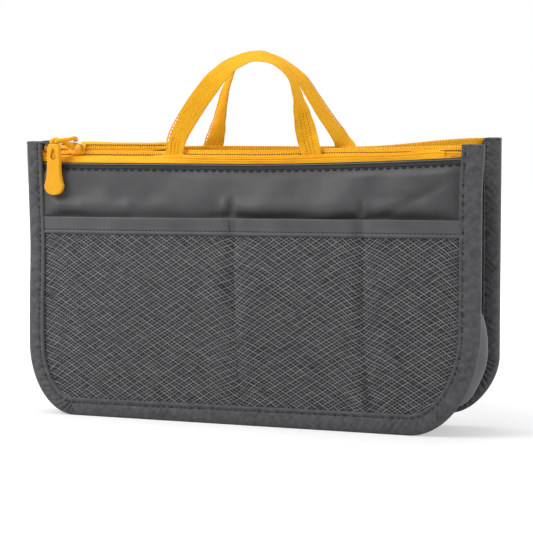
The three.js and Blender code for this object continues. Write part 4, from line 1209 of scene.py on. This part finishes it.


# Floor of the drop-shaped recess in the grip, in darker orange: painted shade in the recess
RECESS_RADIUS, RECESS_DROP, RECESS_TIP, RECESS_MIDDLE, RECESS_Y = 1.78, 7.8, 2.75, 7.4, -16.62
RECESS_ANGLE = radians(69.4)


def grip_recess():
    x0, z0 = SLIDER_X + GRIP_X, CHAIN_Z + GRIP_Z
    turn = np.linspace(RECESS_ANGLE, 2 * pi - RECESS_ANGLE, 29)
    x, z = x0 + RECESS_RADIUS * np.sin(turn), z0 - RECESS_DROP + RECESS_RADIUS * np.cos(turn)
    outline = np.concatenate([[(x0, z0 - RECESS_TIP)], joined(x, z)])
    middle = np.array((x0, z0 - RECESS_MIDDLE))
    rows = np.stack([middle + 0.02 * (outline - middle), outline])
    rows = np.concatenate([rows, rows[:, :1]], 1)
    over = joined(rows[..., 0], np.full(rows.shape[:2], RECESS_Y - 0.08), rows[..., 1])
    floor = slab("grip_recess_floor", over, over + np.array((0, 0.06, 0)), M_RECESS_SHADE)
    rides(floor, "moulded", body="pull")


# Solids that are carried over, with small bevels
EDGE_BEVEL, EDGE_ANGLE = 0.0002, radians(35)


def carry_over():
    for name, material in (("zip_slider", M_ENAMEL), ("slider_bridge", M_STEEL), ("pull_grip", M_GRIP)):
        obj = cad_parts[name]
        obj.data.materials.clear()
        obj.data.materials.append(material)
        bevel = obj.modifiers.new("edges", "BEVEL")
        bevel.width = EDGE_BEVEL
        bevel.segments = 2
        bevel.limit_method = "ANGLE"
        bevel.angle_limit = EDGE_ANGLE
        obj.data.polygons.foreach_set("use_smooth", np.full(len(obj.data.polygons), name != "zip_slider"))


# Light and floor, in metres
FLOOR_HALF = 4
LAMP_AIM = Vector((0, 0, 0.09))
LAMPS = (("key", (-0.6, -0.48, 0.62), 0.5, 5.7), ("fill", (1.15, -0.28, 0.55), 0.7, 5.6),
         ("back", (0.2, 1.2, 0.6), 0.8, 3.0), ("top", (-0.15, 0.1, 1.1), 0.8, 5.0))


# 1 for rays from the camera, also by way of a mirror or glass
def seen(tree):
    path = tree.nodes.new("ShaderNodeLightPath").outputs
    mirrored = math_node(tree, "MAXIMUM", path["Is Glossy Ray"], path["Is Transmission Ray"])
    return math_node(tree, "MAXIMUM", path["Is Camera Ray"], mirrored)


def backdrop():
    world = bpy.data.worlds.new("studio")
    bpy.context.scene.world = world
    world.use_nodes = True
    tree = world.node_tree
    back = tree.nodes["Background"]
    strength = math_node(tree, "ADD", math_node(tree, "MULTIPLY", seen(tree), 0.7), 0.3)
    tree.links.new(strength, back.inputs["Strength"])
    back.inputs["Color"].default_value = (1, 1, 1, 1)


def floor():
    look = new_look("floor", (0.65, 0.65, 0.65), 0.9, specular=0.0)
    tree = look.tree
    look.shader["Emission Color"].default_value = (1, 1, 1, 1)
    away = node(tree, "ShaderNodeVectorMath", operation="LENGTH")
    tree.links.new(look.at, away.inputs[0])
    glow = map_range(tree, away.outputs["Value"], 0.15, 0.7, 0.4, 1.0)
    tree.links.new(math_node(tree, "MULTIPLY", seen(tree), glow), look.shader["Emission Strength"])
    mesh = bpy.data.meshes.new("floor")
    corners = [(x * FLOOR_HALF, y * FLOOR_HALF, 0) for x, y in ((-1, -1), (1, -1), (1, 1), (-1, 1))]
    mesh.from_pydata(corners, [], [(0, 1, 2, 3)])
    mesh.materials.append(look.material)
    linked("floor", mesh)


def lamps():
    for name, spot, size, power in LAMPS:
        data = bpy.data.lights.new(name, "AREA")
        data.size = size
        data.energy = power
        aimed(name, data, spot, LAMP_AIM - Vector(spot))


pull()
for wall in (FRONT, REAR):
    shell(wall)
    lining(wall)
    inner_pocket(wall)
    mesh_pocket(wall)
    pocket_hem(wall)
    pocket_divisions(wall)
    binding(wall)
    zip_tape(wall)
    facing_band(wall)
    coil_loops(wall)
    coil_bed(wall)
    handle(wall)
gusset()
grip_recess()
carry_over()
bpy.context.scene.view_settings.view_transform = "Standard"
backdrop()
floor()
lamps()
